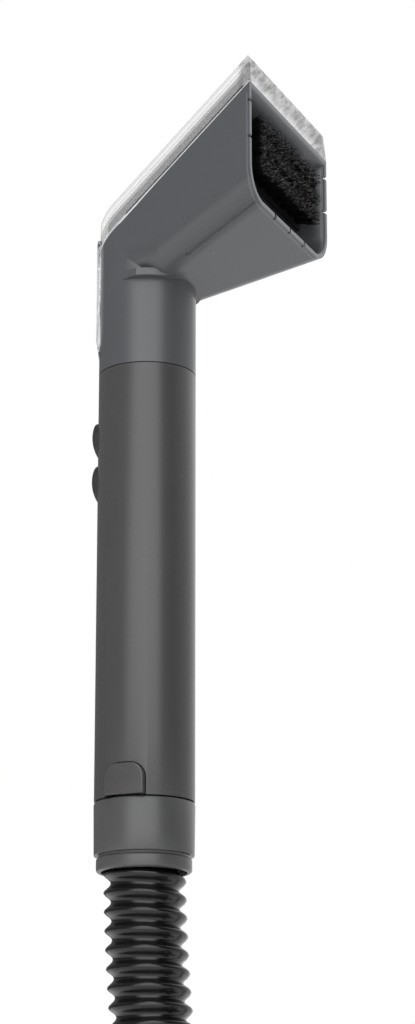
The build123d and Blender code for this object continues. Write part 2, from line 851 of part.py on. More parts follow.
# Heel ring: a low ledge round the neck, between the sides of the head
heel_outline = (
    (heel_back_x, fan_half_width(heel_back_x, heel_ease)),
    (heel_x, fan_half_width(heel_x)),
    (mouth_x, fan_half_width(heel_x)),
)
with BuildPart() as heel_ring:
    with BuildSketch(level(neck_top_height)):
        Polygon(*heel_outline, *[(x, -y) for x, y in reversed(heel_outline)], align=None)
        Circle(heel_ring_radius, mode=Mode.INTERSECT)
    extrude(amount=heel_ring_height)
    split(bisect_by=underside_plane(), keep=Keep.TOP)

# Rail on the head's roof, just inside the cover's side walls
rail_inset = cover_wall + rail_gap
rail_front_x = mouth_x - rail_setback
with BuildPart() as cover_rail:
    with BuildSketch(level(neck_top_height)):
        fan_outline(rail_inset, rail_front_x)
        fan_outline(rail_inset + rail_thickness, mouth_x, mode=Mode.SUBTRACT)
        with Locations((rail_back_x, 0)):
            Rectangle(
                2 * handle_radius, 4 * handle_radius, align=(Align.MAX, Align.CENTER), mode=Mode.SUBTRACT
            )
    extrude(amount=2 * (cover_tip_height - neck_top_height))
    split(bisect_by=top_plane(-head_wall / 2), keep=Keep.TOP)
    split(bisect_by=top_plane(rail_height), keep=Keep.BOTTOM)

# Nozzle body: neck with its spigot, round back, and the fan that opens at the mouth
neck_ring_height = handle_length - neck_ring_drop
neck_ring_radius = handle_bore - ring_clearance - ring_section
with BuildPart() as nozzle_body:
    with BuildSketch(level(handle_length + seam_gap)):
        Circle(handle_radius)
    extrude(amount=mouth_top_height - handle_length)
    split(bisect_by=top_plane(0), keep=Keep.BOTTOM)
    with BuildSketch(level(handle_length - neck_spigot_depth)):
        Circle(neck_spigot_radius)
    extrude(amount=neck_spigot_depth + seam_gap)
    for x, inset in ((heel_back_x, heel_ease), (heel_x, 0), (mouth_x, 0)):
        with BuildSketch(section_plane(x)):
            head_section(x, inset)
    loft(ruled=True)
    add(heel_ring.part)
    add(back_hollow.part, mode=Mode.SUBTRACT)
    with BuildSketch(level(handle_length - neck_spigot_depth)):
        Circle(neck_spigot_bore)
    extrude(amount=neck_spigot_depth + seam_gap + head_wall, mode=Mode.SUBTRACT)
    for x, inset in ((heel_back_x, 2 * heel_ease), (heel_x, 0), (mouth_x, 0)):
        with BuildSketch(section_plane(x)):
            head_section(x, head_wall + inset)
    loft(ruled=True, mode=Mode.SUBTRACT)
    with BuildSketch(level(neck_top_height)):
        d_outline(head_duct_radius + head_duct_clearance, duct_flat_x - head_duct_clearance)
    extrude(amount=mouth_top_height - neck_top_height, mode=Mode.SUBTRACT)
    add(cover_rail.part)
    cut_ring_groove(neck_ring_height, neck_ring_radius, neck_spigot_radius)
    with BuildSketch(section_plane(mouth_x)):
        with Locations([(0, seam_z + mouth_top_height - drop) for drop in side_notch_drops]):
            Rectangle(3 * mouth_half_width, notch_width)
        with Locations((0, seam_z + mouth_bottom_height)):
            with GridLocations(heel_notch_spacing, 0, 3, 1):
                Rectangle(notch_width, 3 * head_wall)
    extrude(amount=-notch_depth, mode=Mode.SUBTRACT)
neck_o_ring = make_ring(neck_ring_height, neck_ring_radius)

# Duct that carries the suction from the roof of the head down the neck
with BuildPart() as head_duct:
    with BuildSketch(level(head_duct_foot_height)):
        d_outline(head_duct_radius, duct_flat_x)
    extrude(amount=mouth_top_height - head_duct_foot_height)
    with BuildSketch(level(head_duct_foot_height)):
        d_outline(head_duct_radius - duct_wall, duct_flat_x + duct_wall)
    extrude(amount=mouth_top_height - head_duct_foot_height, mode=Mode.SUBTRACT)
    split(bisect_by=top_plane(0), keep=Keep.BOTTOM)

# Air space under the clear cover, open at the mouth
with BuildPart() as cover_space:
    with BuildSketch(level(neck_top_height)):
        fan_outline(cover_wall, mouth_x + cover_wall)
    extrude(amount=2 * (cover_tip_height - neck_top_height))
    split(bisect_by=top_plane(cover_rise - cover_wall), keep=Keep.BOTTOM)

# Clear cover: a roof over the suction channel, with a tongue down the back of the neck
with BuildPart() as clear_cover:
    with BuildSketch(level(neck_top_height)):
        fan_outline(0, mouth_x)
    extrude(amount=2 * (cover_tip_height - neck_top_height))
    split(bisect_by=top_plane(cover_seal_thickness), keep=Keep.TOP)
    split(bisect_by=top_plane(cover_rise), keep=Keep.BOTTOM)
    split(bisect_by=cover_front(), keep=Keep.BOTTOM)
    roof = clear_cover.faces().sort_by(Axis((0, 0, 0), top_plane(0).z_dir))[-1]
    fillet(roof.edges().sort_by(Axis.X)[:-1], cover_round)
    add(cover_space.part, mode=Mode.SUBTRACT)
    with BuildSketch(profile_plane(0, 180 - tongue_half_angle)):
        with BuildLine():
            Polyline(
                (handle_radius + tongue_clearance, tongue_foot_height),
                (tongue_radius, tongue_full_height),
                (tongue_radius, tongue_top_height),
                (handle_radius - cover_wall / 2, tongue_top_height),
                (handle_radius + tongue_clearance, tongue_top_height - cover_wall),
                close=True,
            )
        make_face()
    revolve(axis=Axis.Z, revolution_arc=2 * tongue_half_angle)

# Rubber seal between the cover and the body
with BuildPart() as cover_seal:
    with BuildSketch(level(neck_top_height)):
        fan_outline(cover_inset, mouth_x - cover_inset)
    extrude(amount=mouth_top_height - neck_top_height + cover_seal_thickness)
    with BuildSketch(level(neck_top_height)):
        fan_outline(cover_inset + cover_seal_width, mouth_x + cover_inset)
    extrude(amount=mouth_top_height - neck_top_height + cover_seal_thickness, mode=Mode.SUBTRACT)
    split(bisect_by=top_plane(0), keep=Keep.TOP)
    split(bisect_by=top_plane(cover_seal_thickness), keep=Keep.BOTTOM)

# Brush plate: a bulkhead across the head with a raised block for the bristles
brush_middle = seam_z + (brush_low_height + brush_high_height) / 2
brush_height = brush_high_height - brush_low_height
brush_half_width = fan_half_width(plate_x, head_wall) - brush_side_gap
with BuildPart() as brush_plate:
    for x in (plate_x, plate_x + plate_thickness):
        with BuildSketch(section_plane(x)):
            head_section(x, head_wall + plate_clearance)
    loft(ruled=True)
    with BuildSketch(section_plane(plate_x)):
        with Locations((0, brush_middle)):
            Rectangle(2 * brush_half_width, brush_height)
    extrude(amount=brush_block_front_x - plate_x)
    split(bisect_by=top_plane(-head_wall - plate_clearance), keep=Keep.BOTTOM)
    with BuildSketch(section_plane(plate_x)):
        with Locations((0, seam_z + spray_tip_height)):
            Circle(spray_tip_radius + plate_clearance)
    extrude(amount=plate_thickness, mode=Mode.SUBTRACT)


# Bristles: tufts of four-sided strands that spread a little, on a slice of backing
def strand(tuft_y, tuft_z, turn, share):
    """One strand of a tuft, from its root in the backing to its tip."""
    ends = []
    for x, spread, width in (
        (brush_block_front_x + brush_slice / 2, tuft_root_radius, strand_root_width),
        (tip_x, tuft_tip_radius, strand_tip_width),
    ):
        y = tuft_y + spread * share * math.cos(turn)
        z = tuft_z + spread * share * math.sin(turn)
        plane = Plane(origin=(x, y, z), x_dir=(0, 1, 0), z_dir=(1, 0, 0))
        ends.append(Face.make_rect(width, width, plane))
    return loft(ends, ruled=True, mode=Mode.PRIVATE)


golden_turn = math.pi * (3 - math.sqrt(5))
column_step = 2 * brush_half_width / tuft_columns
row_step = brush_height / tuft_rows
with BuildPart() as bristles:
    with BuildSketch(section_plane(brush_block_front_x)):
        with Locations((0, brush_middle)):
            Rectangle(2 * brush_half_width, brush_height)
    extrude(amount=brush_slice)
    strands = []
    for column in range(tuft_columns):
        for row in range(tuft_rows):
            middle_y = (column - (tuft_columns - 1) / 2) * column_step
            middle_z = brush_middle + (row - (tuft_rows - 1) / 2) * row_step
            for number in range(strands_per_tuft):
                share = math.sqrt((number + 1) / strands_per_tuft)
                strands.append(strand(middle_y, middle_z, number * golden_turn, share))
    add(strands)

# Spray tip through the plate, under the brush
with BuildPart() as spray_nozzle:
    flange_back_x = plate_x + plate_thickness
    flange_front_x = flange_back_x + spray_tip_flange_thickness
    with BuildSketch(profile_plane(spray_tip_height)):
        with BuildLine():
            Polyline(
                (spray_tip_back_x, spray_tip_hole),
                (spray_tip_back_x, spray_tip_radius),
                (flange_back_x, spray_tip_radius),
                (flange_back_x, spray_tip_flange_radius),
                (flange_front_x, spray_tip_flange_radius),
                (flange_front_x, spray_tip_radius),
                (spray_tip_front_x - spray_tip_cone, spray_tip_radius),
                (spray_tip_front_x, spray_tip_radius - spray_tip_cone),
                (spray_tip_front_x, spray_tip_hole),
                close=True,
            )
        make_face()
    revolve(axis=Axis((0, 0, seam_z + spray_tip_height), (1, 0, 0)))

# Spray line in the head: a socket over the riser's nipple, then a tube to the spray tip
socket_bore = tube_radius + nipple_socket_clearance
socket_top_height = nipple_height + nipple_socket_wall
socket_foot_height = handle_length - neck_spigot_depth
line_start = Vector(tube_x, 0, seam_z + socket_top_height)
line_stop = Vector(spray_tip_back_x, 0, seam_z + spray_tip_height)
line_points = [Vector(x, y, seam_z + neck_top_height + rise) for x, y, rise in spray_line_points]
line_points.append(line_stop - Vector(spray_line_lead, 0, 0))
with BuildPart() as spray_line:
    with BuildLine() as spray_path:
        FilletPolyline(line_start, *line_points, line_stop, radius=spray_line_radius)
    with BuildSketch(level(socket_top_height)):
        with Locations((tube_x, 0)):
            Circle(tube_radius)
    sweep(path=spray_path.wire())
    with BuildSketch(level(socket_foot_height)):
        with Locations((tube_x, 0)):
            Circle(socket_bore + nipple_socket_wall)
    extrude(amount=socket_top_height - socket_foot_height + nipple_socket_wall)
    with BuildSketch(level(socket_foot_height)):
        with Locations((tube_x, 0)):
            Circle(socket_bore)
    extrude(amount=socket_top_height - socket_foot_height, mode=Mode.SUBTRACT)
    with BuildSketch(level(socket_top_height)):
        with Locations((tube_x, 0)):
            Circle(tube_bore)
    sweep(path=spray_path.wire(), mode=Mode.SUBTRACT)

pieces = {
    "handle_tube": handle_tube,
    "upper_button": upper_button,
    "lower_button": lower_button,
    "upper_valve_plunger": upper_valve_plunger,
    "lower_valve_plunger": lower_valve_plunger,
    "upper_button_spring": upper_button_spring,
    "lower_button_spring": lower_button_spring,
    "valve_block": valve_block,
    "valve_screws": valve_screws,
    "suction_duct": suction_duct,
    "solution_feed_tube": solution_feed_tube,
    "rinse_feed_tube": rinse_feed_tube,
    "spray_riser_tube": spray_riser_tube,
    "line_manifold": line_manifold,
    "right_release_tab": right_release_tab,
    "left_release_tab": left_release_tab,
    "right_tab_spring": right_tab_spring,
    "left_tab_spring": left_tab_spring,
    "hose_cuff": hose_cuff,
    "cuff_o_ring": cuff_o_ring,
    "hose_collar": hose_collar,
    "hose_drop": hose_drop,
    "hose_coil": hose_coil,
    "solution_line": solution_line,
    "coil_tie": coil_tie,
    "machine_plug": machine_plug,
    "plug_seal": plug_seal,
    "nozzle_body": nozzle_body,
    "neck_o_ring": neck_o_ring,
    "head_duct": head_duct,
    "clear_cover": clear_cover,
    "cover_seal": cover_seal,
    "brush_plate": brush_plate,
    "bristles": bristles,
    "spray_nozzle": spray_nozzle,
    "spray_line": spray_line,
}
os.makedirs("parts", exist_ok=True)
for name, piece in pieces.items():
    piece.part.label = name
    export_step(piece.part, f"parts/{name}.step")
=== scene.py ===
# %% [markdown]
# A carpet cleaner's hand tool, dressed in Blender
#
# The tool is a tube for a handle, a wedge-shaped suction head with a clear cover, and a
# ribbed hose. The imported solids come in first. They are the fixed frame: every piece below
# is measured from them, and none of them is moved.

# %% Load the frame
import json
import math
import random

import bmesh
import bpy
import numpy as np
from mathutils import Matrix, Vector


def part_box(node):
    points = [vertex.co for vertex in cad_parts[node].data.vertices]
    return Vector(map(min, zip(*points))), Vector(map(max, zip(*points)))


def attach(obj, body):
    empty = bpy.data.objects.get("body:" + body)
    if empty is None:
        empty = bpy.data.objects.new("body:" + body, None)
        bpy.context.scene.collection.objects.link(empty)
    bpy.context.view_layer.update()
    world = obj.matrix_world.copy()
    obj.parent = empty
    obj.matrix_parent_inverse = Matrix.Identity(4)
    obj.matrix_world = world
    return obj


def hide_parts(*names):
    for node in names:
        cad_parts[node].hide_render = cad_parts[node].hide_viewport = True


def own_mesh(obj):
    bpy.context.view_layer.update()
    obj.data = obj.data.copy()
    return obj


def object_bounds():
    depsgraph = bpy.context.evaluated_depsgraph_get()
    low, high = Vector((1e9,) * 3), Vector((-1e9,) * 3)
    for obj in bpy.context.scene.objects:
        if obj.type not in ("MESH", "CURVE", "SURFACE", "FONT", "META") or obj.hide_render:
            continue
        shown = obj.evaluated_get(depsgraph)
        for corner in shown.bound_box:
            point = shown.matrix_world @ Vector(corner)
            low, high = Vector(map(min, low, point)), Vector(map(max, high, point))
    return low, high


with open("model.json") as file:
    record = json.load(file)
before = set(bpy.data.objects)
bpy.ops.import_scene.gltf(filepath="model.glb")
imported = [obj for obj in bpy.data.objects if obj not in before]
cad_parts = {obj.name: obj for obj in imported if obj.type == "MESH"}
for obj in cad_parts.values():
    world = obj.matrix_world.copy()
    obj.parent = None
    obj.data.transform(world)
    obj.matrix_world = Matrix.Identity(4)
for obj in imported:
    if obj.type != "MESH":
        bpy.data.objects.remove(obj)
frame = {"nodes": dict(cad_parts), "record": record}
cad_box = [[float(value) for value in corner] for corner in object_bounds()]
MM = 0.001
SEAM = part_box("handle_tube")[0].z
print("CAD box", cad_box)

# %% [markdown]
# Heights on this tool are easiest to count from the seam between the cuff and the handle,
# in millimetres, as they were read off the photograph. One small function turns such a
# height into metres in the shared frame.


# %% Heights from the seam
def up(height):
    """Row height in metres of a place counted in millimetres from the cuff seam."""
    return SEAM + height * MM


def place(x, y, height):
    """A point in metres from millimetres, with its height counted from the seam."""
    return Vector((x * MM, y * MM, up(height)))


print("seam at", round(SEAM, 4), "m")

# %% [markdown]
# The camera comes first, because it decides what the eye meets. The photograph was taken
# from below the mouth, with a long lens, looking up along the handle. A long lens keeps
# the handle's two edges nearly parallel.

# %% Camera
SENSOR = 36.0
LENS = 91.48
CAMERA_PLACE = (0.42249, -0.92621, -0.26490)
CAMERA_PITCH = 16.207
CAMERA_HEADING = 23.122

camera_data = bpy.data.cameras.new("camera")
camera_data.sensor_fit = "VERTICAL"
camera_data.sensor_height = SENSOR
camera_data.lens = LENS
camera = bpy.data.objects.new("camera", camera_data)
camera.location = CAMERA_PLACE
camera.rotation_euler = (math.radians(90 + CAMERA_PITCH), 0, math.radians(CAMERA_HEADING))
bpy.context.scene.collection.objects.link(camera)
bpy.context.scene.camera = camera
print("camera at", CAMERA_PLACE)

# %% [markdown]
# The hose is next. It hangs from the cuff, sweeps out to the floor and lies there in one
# tied turn, because only its first hand's breadth is in the photograph. A NURBS line with
# the route's few points as its control points gives the lazy curve of a real hose. The
# turns of the coil are worked out in a loop. Control points of such a spline stand a
# little outside the circle that it draws, so their radius is divided by a cosine.

# %% Route of the hose
HOSE_ROUTE = (
    (0.0, 0.0, -4.0),
    (0.0, 0.0, -48.0),
    (6.7, 0.0, -117.7),
    (39.1, 0.0, -184.2),
    (93.7, 0.0, -234.2),
    (162.8, 0.0, -260.7),
    (232.8, 0.0, -260.7),
)
COIL_RADIUS = 165.0
COIL_RISE = 38.0
HOSE_TAIL = 33.0
HALF_TURN_STEPS = 8
HOSE_RESOLUTION = 32
HOSE_CREST = 16.3
HOSE_ROOT = 13.4
RIB_PITCH = 7.275
RIB_PHASE = 0.477


def hose_control_points():
    """Control points of the hose's line, in millimetres from the seam."""
    points = list(HOSE_ROUTE)
    start_x, start_y, floor_height = HOSE_ROUTE[-1]
    half_step = math.pi / HALF_TURN_STEPS / 2
    for step in range(1, 2 * HALF_TURN_STEPS + 1):
        angle = 2 * half_step * step
        at_end = step % HALF_TURN_STEPS == 0
        reach = COIL_RADIUS if at_end else COIL_RADIUS / math.cos(half_step)
        y = start_y + COIL_RADIUS - reach * math.cos(angle)
        climb = 0.0 if step <= HALF_TURN_STEPS else COIL_RISE * (1 - (y - start_y) / (2 * COIL_RADIUS))
        points.append((start_x + reach * math.sin(angle), y, floor_height + climb))
    points.append((start_x + HOSE_TAIL, start_y, floor_height + COIL_RISE))
    return points


def spline_points(name, control_points):
    """Points along a NURBS line, read from a curve that has no thickness."""
    curve = bpy.data.curves.new(name, "CURVE")
    curve.dimensions = "3D"
    curve.resolution_u = HOSE_RESOLUTION
    spline = curve.splines.new("NURBS")
    spline.points.add(len(control_points) - 1)
    for point, (x, y, height) in zip(spline.points, control_points):
        point.co = (*place(x, y, height), 1)
    spline.order_u = 3
    spline.use_endpoint_u = True
    holder = bpy.data.objects.new(name, curve)
    bpy.context.scene.collection.objects.link(holder)
    bpy.context.view_layer.update()
    mesh = bpy.data.meshes.new_from_object(holder)
    points = np.array([vertex.co for vertex in mesh.vertices])
    bpy.data.objects.remove(holder)
    bpy.data.meshes.remove(mesh)
    return points


hose_points = spline_points("hose_line", hose_control_points())
hose_steps = np.linalg.norm(np.diff(hose_points, axis=0), axis=1)
HOSE_LENGTH = float(hose_steps.sum())
print("hose line:", len(hose_points), "points,", round(HOSE_LENGTH, 3), "m")

# %% [markdown]
# The ribs of this hose are one left-handed screw, not separate rings. The skin is therefore
# laid on a grid that is sheared along the screw: each row of the grid follows the rib, so
# its crest stays crisp all the way round. Where the last column meets the first again, it
# joins the row one whole pitch further on.


# %% Ribbed skin
RIB_ROWS = 8
RIB_COLUMNS = 40
RIB_SHARPNESS = 1.15
WELD_GAP = 0.002


def line_frames(points, distances):
    """Centres and two cross directions at distances along a line."""
    steps = np.linalg.norm(np.diff(points, axis=0), axis=1)
    along = np.concatenate([[0.0], np.cumsum(steps)])
    tangents = np.gradient(points, along, axis=0)
    tangents /= np.linalg.norm(tangents, axis=1)[:, None]
    normal = np.array([0.0, 1.0, 0.0])
    normals = []
    for tangent in tangents:
        normal = normal - tangent * normal.dot(tangent)
        normal = normal / np.linalg.norm(normal)
        normals.append(normal)
    normals = np.array(normals)
    across = np.cross(tangents, normals)

    def at(values):
        return np.stack([np.interp(distances, along, values[:, i]) for i in range(3)], axis=-1)

    return at(points), at(normals), at(across)


def rib_radius(phase):
    """Radius of the hose at a place within one pitch, as a share from 0 to 1."""
    wave = 0.5 - 0.5 * np.cos(2 * math.pi * phase)
    return (HOSE_ROOT + (HOSE_CREST - HOSE_ROOT) * wave**RIB_SHARPNESS) * MM


def ribbed_hose(name, points, length):
    """A tube with one screw-shaped rib, closed at both ends."""
    pitch = RIB_PITCH * MM
    rows = int(math.ceil(length / pitch) + 1) * RIB_ROWS
    row, column = np.meshgrid(np.arange(rows + 1), np.arange(RIB_COLUMNS), indexing="ij")
    turn = column / RIB_COLUMNS
    distance = np.clip((row / RIB_ROWS - turn) * pitch, 0, length)
    radius = rib_radius(row / RIB_ROWS - RIB_PHASE)
    centre, normal, across = line_frames(points, distance.ravel())
    angle = 2 * math.pi * turn.ravel()[:, None]
    reach = radius.ravel()[:, None]
    skin = centre + reach * (np.cos(angle) * normal + np.sin(angle) * across)
    faces = []
    for r in range(rows):
        first = r * RIB_COLUMNS
        for c in range(RIB_COLUMNS - 1):
            at, above = first + c, first + c + RIB_COLUMNS
            faces.append((at, at + 1, above + 1, above))
        wrapped = first - RIB_ROWS * RIB_COLUMNS
        if wrapped >= 0:
            last = first + RIB_COLUMNS - 1
            faces.append((last, wrapped, wrapped + RIB_COLUMNS, last + RIB_COLUMNS))
    mesh = bpy.data.meshes.new(name)
    mesh.from_pydata(skin.tolist(), [], faces)
    hose = bpy.data.objects.new(name, mesh)
    bpy.context.scene.collection.objects.link(hose)
    return hose


def pick(*objects):
    """Make these the only selected objects, and the first one the active one."""
    bpy.ops.object.select_all(action="DESELECT")
    for obj in objects:
        obj.select_set(True)
    bpy.context.view_layer.objects.active = objects[0]


def weld(obj):
    """Merge doubled points, close open ends and turn the faces outwards."""
    pick(obj)
    bpy.ops.object.mode_set(mode="EDIT")
    bpy.ops.mesh.select_all(action="SELECT")
    bpy.ops.mesh.remove_doubles(threshold=WELD_GAP * MM)
    bpy.ops.mesh.dissolve_degenerate(threshold=WELD_GAP * MM)
    bpy.ops.mesh.select_all(action="SELECT")
    bpy.ops.mesh.fill_holes(sides=0)
    bpy.ops.mesh.select_all(action="SELECT")
    bpy.ops.mesh.normals_make_consistent(inside=False)
    bpy.ops.object.mode_set(mode="OBJECT")


hose = ribbed_hose("ribbed_hose", hose_points, HOSE_LENGTH)
weld(hose)
print("hose skin:", len(hose.data.polygons), "faces")

# %% [markdown]
# Most other pieces share three ways of working. A turned piece is a circle that is drawn
# out ring by ring, as clay on a wheel. A block gets four of its edges rounded. A recast is
# a copy of a solid whose shape is already right, welded into one skin. All of them end with
# a fine bevel, because no moulded edge is knife-sharp and the bevel catches the light.

# %% Ways of working
TURN_SEGMENTS = 128
RING_GAP = 0.005
RECAST_GAP = 0.004
FLAT_ANGLE = 0.4
FLAT_WEIGHT = 80
ALONG = 0.9
FLUSH = 1e-5
pieces = {}


def modify(obj, kind, **settings):
    """Add one modifier and apply it."""
    pick(obj)
    modifier = obj.modifiers.new(kind.lower(), kind)
    for key, value in settings.items():
        setattr(modifier, key, value)
    bpy.ops.object.modifier_apply(modifier=modifier.name)


def soften(obj, width, angle=35, segments=2):
    """Round every edge that is sharper than an angle."""
    modify(
        obj, "BEVEL", width=width * MM, segments=segments, limit_method="ANGLE",
        angle_limit=math.radians(angle), use_clamp_overlap=True,
    )


def turned(name, rings, segments=TURN_SEGMENTS):
    """A closed turned shell through rings of (radius, height), in millimetres."""
    bpy.ops.object.select_all(action="DESELECT")
    radius, height = rings[0]
    bpy.ops.mesh.primitive_circle_add(vertices=segments, radius=radius * MM, location=(0, 0, up(height)))
    obj = bpy.context.object
    obj.name = name
    bpy.ops.object.transform_apply(location=True, rotation=True, scale=True)
    bpy.ops.object.mode_set(mode="EDIT")
    bpy.ops.mesh.select_all(action="SELECT")
    for ring in rings[1:] + rings[:1]:
        rise = (ring[1] - height) * MM
        bpy.ops.mesh.extrude_edges_move(TRANSFORM_OT_translate={"value": (0, 0, rise)})
        share = ring[0] / radius
        bpy.ops.transform.resize(value=(share, share, 1), center_override=(0, 0, up(ring[1])))
        radius, height = ring
    bpy.ops.mesh.select_all(action="SELECT")
    bpy.ops.mesh.remove_doubles(threshold=RING_GAP * MM)
    bpy.ops.mesh.normals_make_consistent(inside=False)
    bpy.ops.object.mode_set(mode="OBJECT")
    return obj


def block(name, low, high, axis, corner, top_only=False, segments=10):
    """A block between two corners, with its edges along one axis rounded."""
    low, high = Vector(low), Vector(high)
    bpy.ops.object.select_all(action="DESELECT")
    bpy.ops.mesh.primitive_cube_add(size=1, location=(low + high) / 2)
    obj = bpy.context.object
    obj.name = name
    obj.scale = high - low
    bpy.ops.object.transform_apply(location=True, rotation=True, scale=True)
    bpy.ops.object.mode_set(mode="EDIT")
    bpy.ops.mesh.select_mode(type="EDGE")
    bpy.ops.mesh.select_all(action="DESELECT")
    shape = bmesh.from_edit_mesh(obj.data)
    middle = (low + high) / 2
    for edge in shape.edges:
        direction = (edge.verts[1].co - edge.verts[0].co).normalized()
        upper = edge.verts[0].co.z > middle.z or not top_only
        edge.select_set(abs(direction[axis]) > ALONG and upper)
    bmesh.update_edit_mesh(obj.data)
    bpy.ops.mesh.bevel(offset=corner * MM, segments=segments, affect="EDGES")
    bpy.ops.object.mode_set(mode="OBJECT")
    return obj


def carve(obj, tool, operation="DIFFERENCE"):
    """Cut one object with another and throw the tool away."""
    modify(obj, "BOOLEAN", operation=operation, object=tool, solver="EXACT")
    bpy.data.objects.remove(tool)


def recast(node, name):
    """A copy of a CAD node, welded into one skin of clean faces."""
    obj = bpy.data.objects.new(name, frame["nodes"][node].data.copy())
    bpy.context.scene.collection.objects.link(obj)
    obj.data.materials.clear()
    pick(obj)
    bpy.ops.object.mode_set(mode="EDIT")
    bpy.ops.mesh.select_all(action="SELECT")
    bpy.ops.mesh.remove_doubles(threshold=RECAST_GAP * MM)
    bpy.ops.mesh.dissolve_limited(angle_limit=math.radians(FLAT_ANGLE))
    bpy.ops.object.mode_set(mode="OBJECT")
    return obj


def keep(piece, body, slot, *nodes, smooth_angle=32, flat_first=False):
    """Shade a finished piece, ride it on its body and let it stand for its nodes."""
    pick(piece)
    bpy.ops.object.shade_smooth_by_angle(angle=math.radians(smooth_angle))
    if flat_first:
        modify(piece, "WEIGHTED_NORMAL", weight=FLAT_WEIGHT, keep_sharp=True)
    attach(piece, body)
    if nodes:
        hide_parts(*nodes)
    pieces[piece.name] = slot
    print(piece.name, "on", body, len(piece.data.polygons), "faces")


keep(hose, "handle", "hose_black", "hose_drop", "hose_coil", smooth_angle=60)

# %% [markdown]
# Inside the hose runs a slim line with the cleaning liquid. It follows the same curve, from
# the manifold in the handle to the front of the plug, and is a twelve-sided tube swept along
# the points that the hose used.

# %% Liquid line in the hose
LINE_RADIUS = 3.0
LINE_SIDES = 12
LINE_TOP = 20.0
PLUG_BODY = 20.0
PLUG_NOSE = 20.0


def plain_tube(name, points, radius, sides):
    """A smooth closed tube along points."""
    steps = np.linalg.norm(np.diff(points, axis=0), axis=1)
    distances = np.concatenate([[0.0], np.cumsum(steps)])
    centre, normal, across = line_frames(points, distances)
    corners = []
    for side in range(sides):
        angle = 2 * math.pi * side / sides
        corners.append(centre + radius * MM * (math.cos(angle) * normal + math.sin(angle) * across))
    skin = np.stack(corners, axis=1).reshape(-1, 3)
    faces = []
    for r in range(len(points) - 1):
        for c in range(sides):
            after = (c + 1) % sides
            faces.append((r * sides + c, r * sides + after, (r + 1) * sides + after, (r + 1) * sides + c))
    mesh = bpy.data.meshes.new(name)
    mesh.from_pydata(skin.tolist(), [], faces)
    tube = bpy.data.objects.new(name, mesh)
    bpy.context.scene.collection.objects.link(tube)
    weld(tube)
    return tube


line_top = np.array([place(0, 0, LINE_TOP)])
line_end = hose_points[-1:] + np.array([[(PLUG_BODY + PLUG_NOSE) * MM, 0, 0]])
liquid_line = plain_tube(
    "liquid_line", np.concatenate([line_top, hose_points, line_end]), LINE_RADIUS, LINE_SIDES
)
keep(liquid_line, "handle", "line_clear", "solution_line", smooth_angle=60)

# %% [markdown]
# The handle is a plain tube, but what is cut out of it makes it read as a tool: one opening
# for the two thumb buttons and a notch on each side for the release tabs. The tube is turned
# and then carved with rounded blocks.

# %% Handle
HANDLE_RADIUS = 20.0
HANDLE_BORE = 17.8
HANDLE_LENGTH = 177.2
CLEARANCE = 0.3
BUTTON_LOW = 122.4
BUTTON_HIGH = 159.4
BUTTON_WIDTH = 16.0
BUTTON_CORNER = 7.4
TAB_WIDTH = 17.0
TAB_HEIGHT = 12.8
TAB_CORNER = 6.0
HANDLE_RINGS = [
    (HANDLE_BORE, 0.0),
    (HANDLE_RADIUS, 0.0),
    (HANDLE_RADIUS, HANDLE_LENGTH),
    (HANDLE_BORE, HANDLE_LENGTH),
]

handle = turned("handle_shell", HANDLE_RINGS)
half_opening = BUTTON_WIDTH / 2 + CLEARANCE
carve(handle, block(
    "opening",
    place(-2 * HANDLE_RADIUS, -half_opening, BUTTON_LOW - CLEARANCE),
    place(-HANDLE_RADIUS / 4, half_opening, BUTTON_HIGH + CLEARANCE),
    axis=0, corner=BUTTON_CORNER + CLEARANCE,
))
half_tab = TAB_WIDTH / 2 + CLEARANCE
for side in (1, -1):
    near, far = sorted((side * HANDLE_RADIUS / 2, side * 2 * HANDLE_RADIUS))
    carve(handle, block(
        "notch",
        place(-half_tab, near, -TAB_HEIGHT),
        place(half_tab, far, TAB_HEIGHT + CLEARANCE),
        axis=1, corner=TAB_CORNER + CLEARANCE, top_only=True,
    ))
soften(handle, width=0.35)
keep(handle, "handle", "handle_grey", "handle_tube")

# %% [markdown]
# Each release tab is a flat pad that stands a little proud of the round handle, with a hooked
# ring behind it. The solids have that shape already, so they are recast and their edges
# softened. The soft edge and the shadow of its step are what shows of them.

# %% Release tabs
for side in ("right", "left"):
    tab = recast(f"{side}_release_tab", f"{side}_tab_piece")
    soften(tab, width=0.3)
    keep(tab, f"{side}_tab", "handle_grey", f"{side}_release_tab")

# %% [markdown]
# The thumb buttons are domed caps. A rounded block gives the outline that fits the opening,
# and the part of it inside a large ball is the cap: its crown sits nearer the top end, where
# the thumb rolls on. A thin flange behind keeps the cap from falling out.

# %% Thumb buttons
UPPER_LENGTH = 17.4
LOWER_LENGTH = 18.6
BUTTON_RISE = 3.2
DOME_RADIUS = 15.4
PEAK_SHIFT = 1.2
FLANGE_BACK = 13.7
FLANGE_FRONT = 14.9
FLANGE_LIP = 1.2
CAP_MARGIN = 1.0
BALL_SEGMENTS = 96


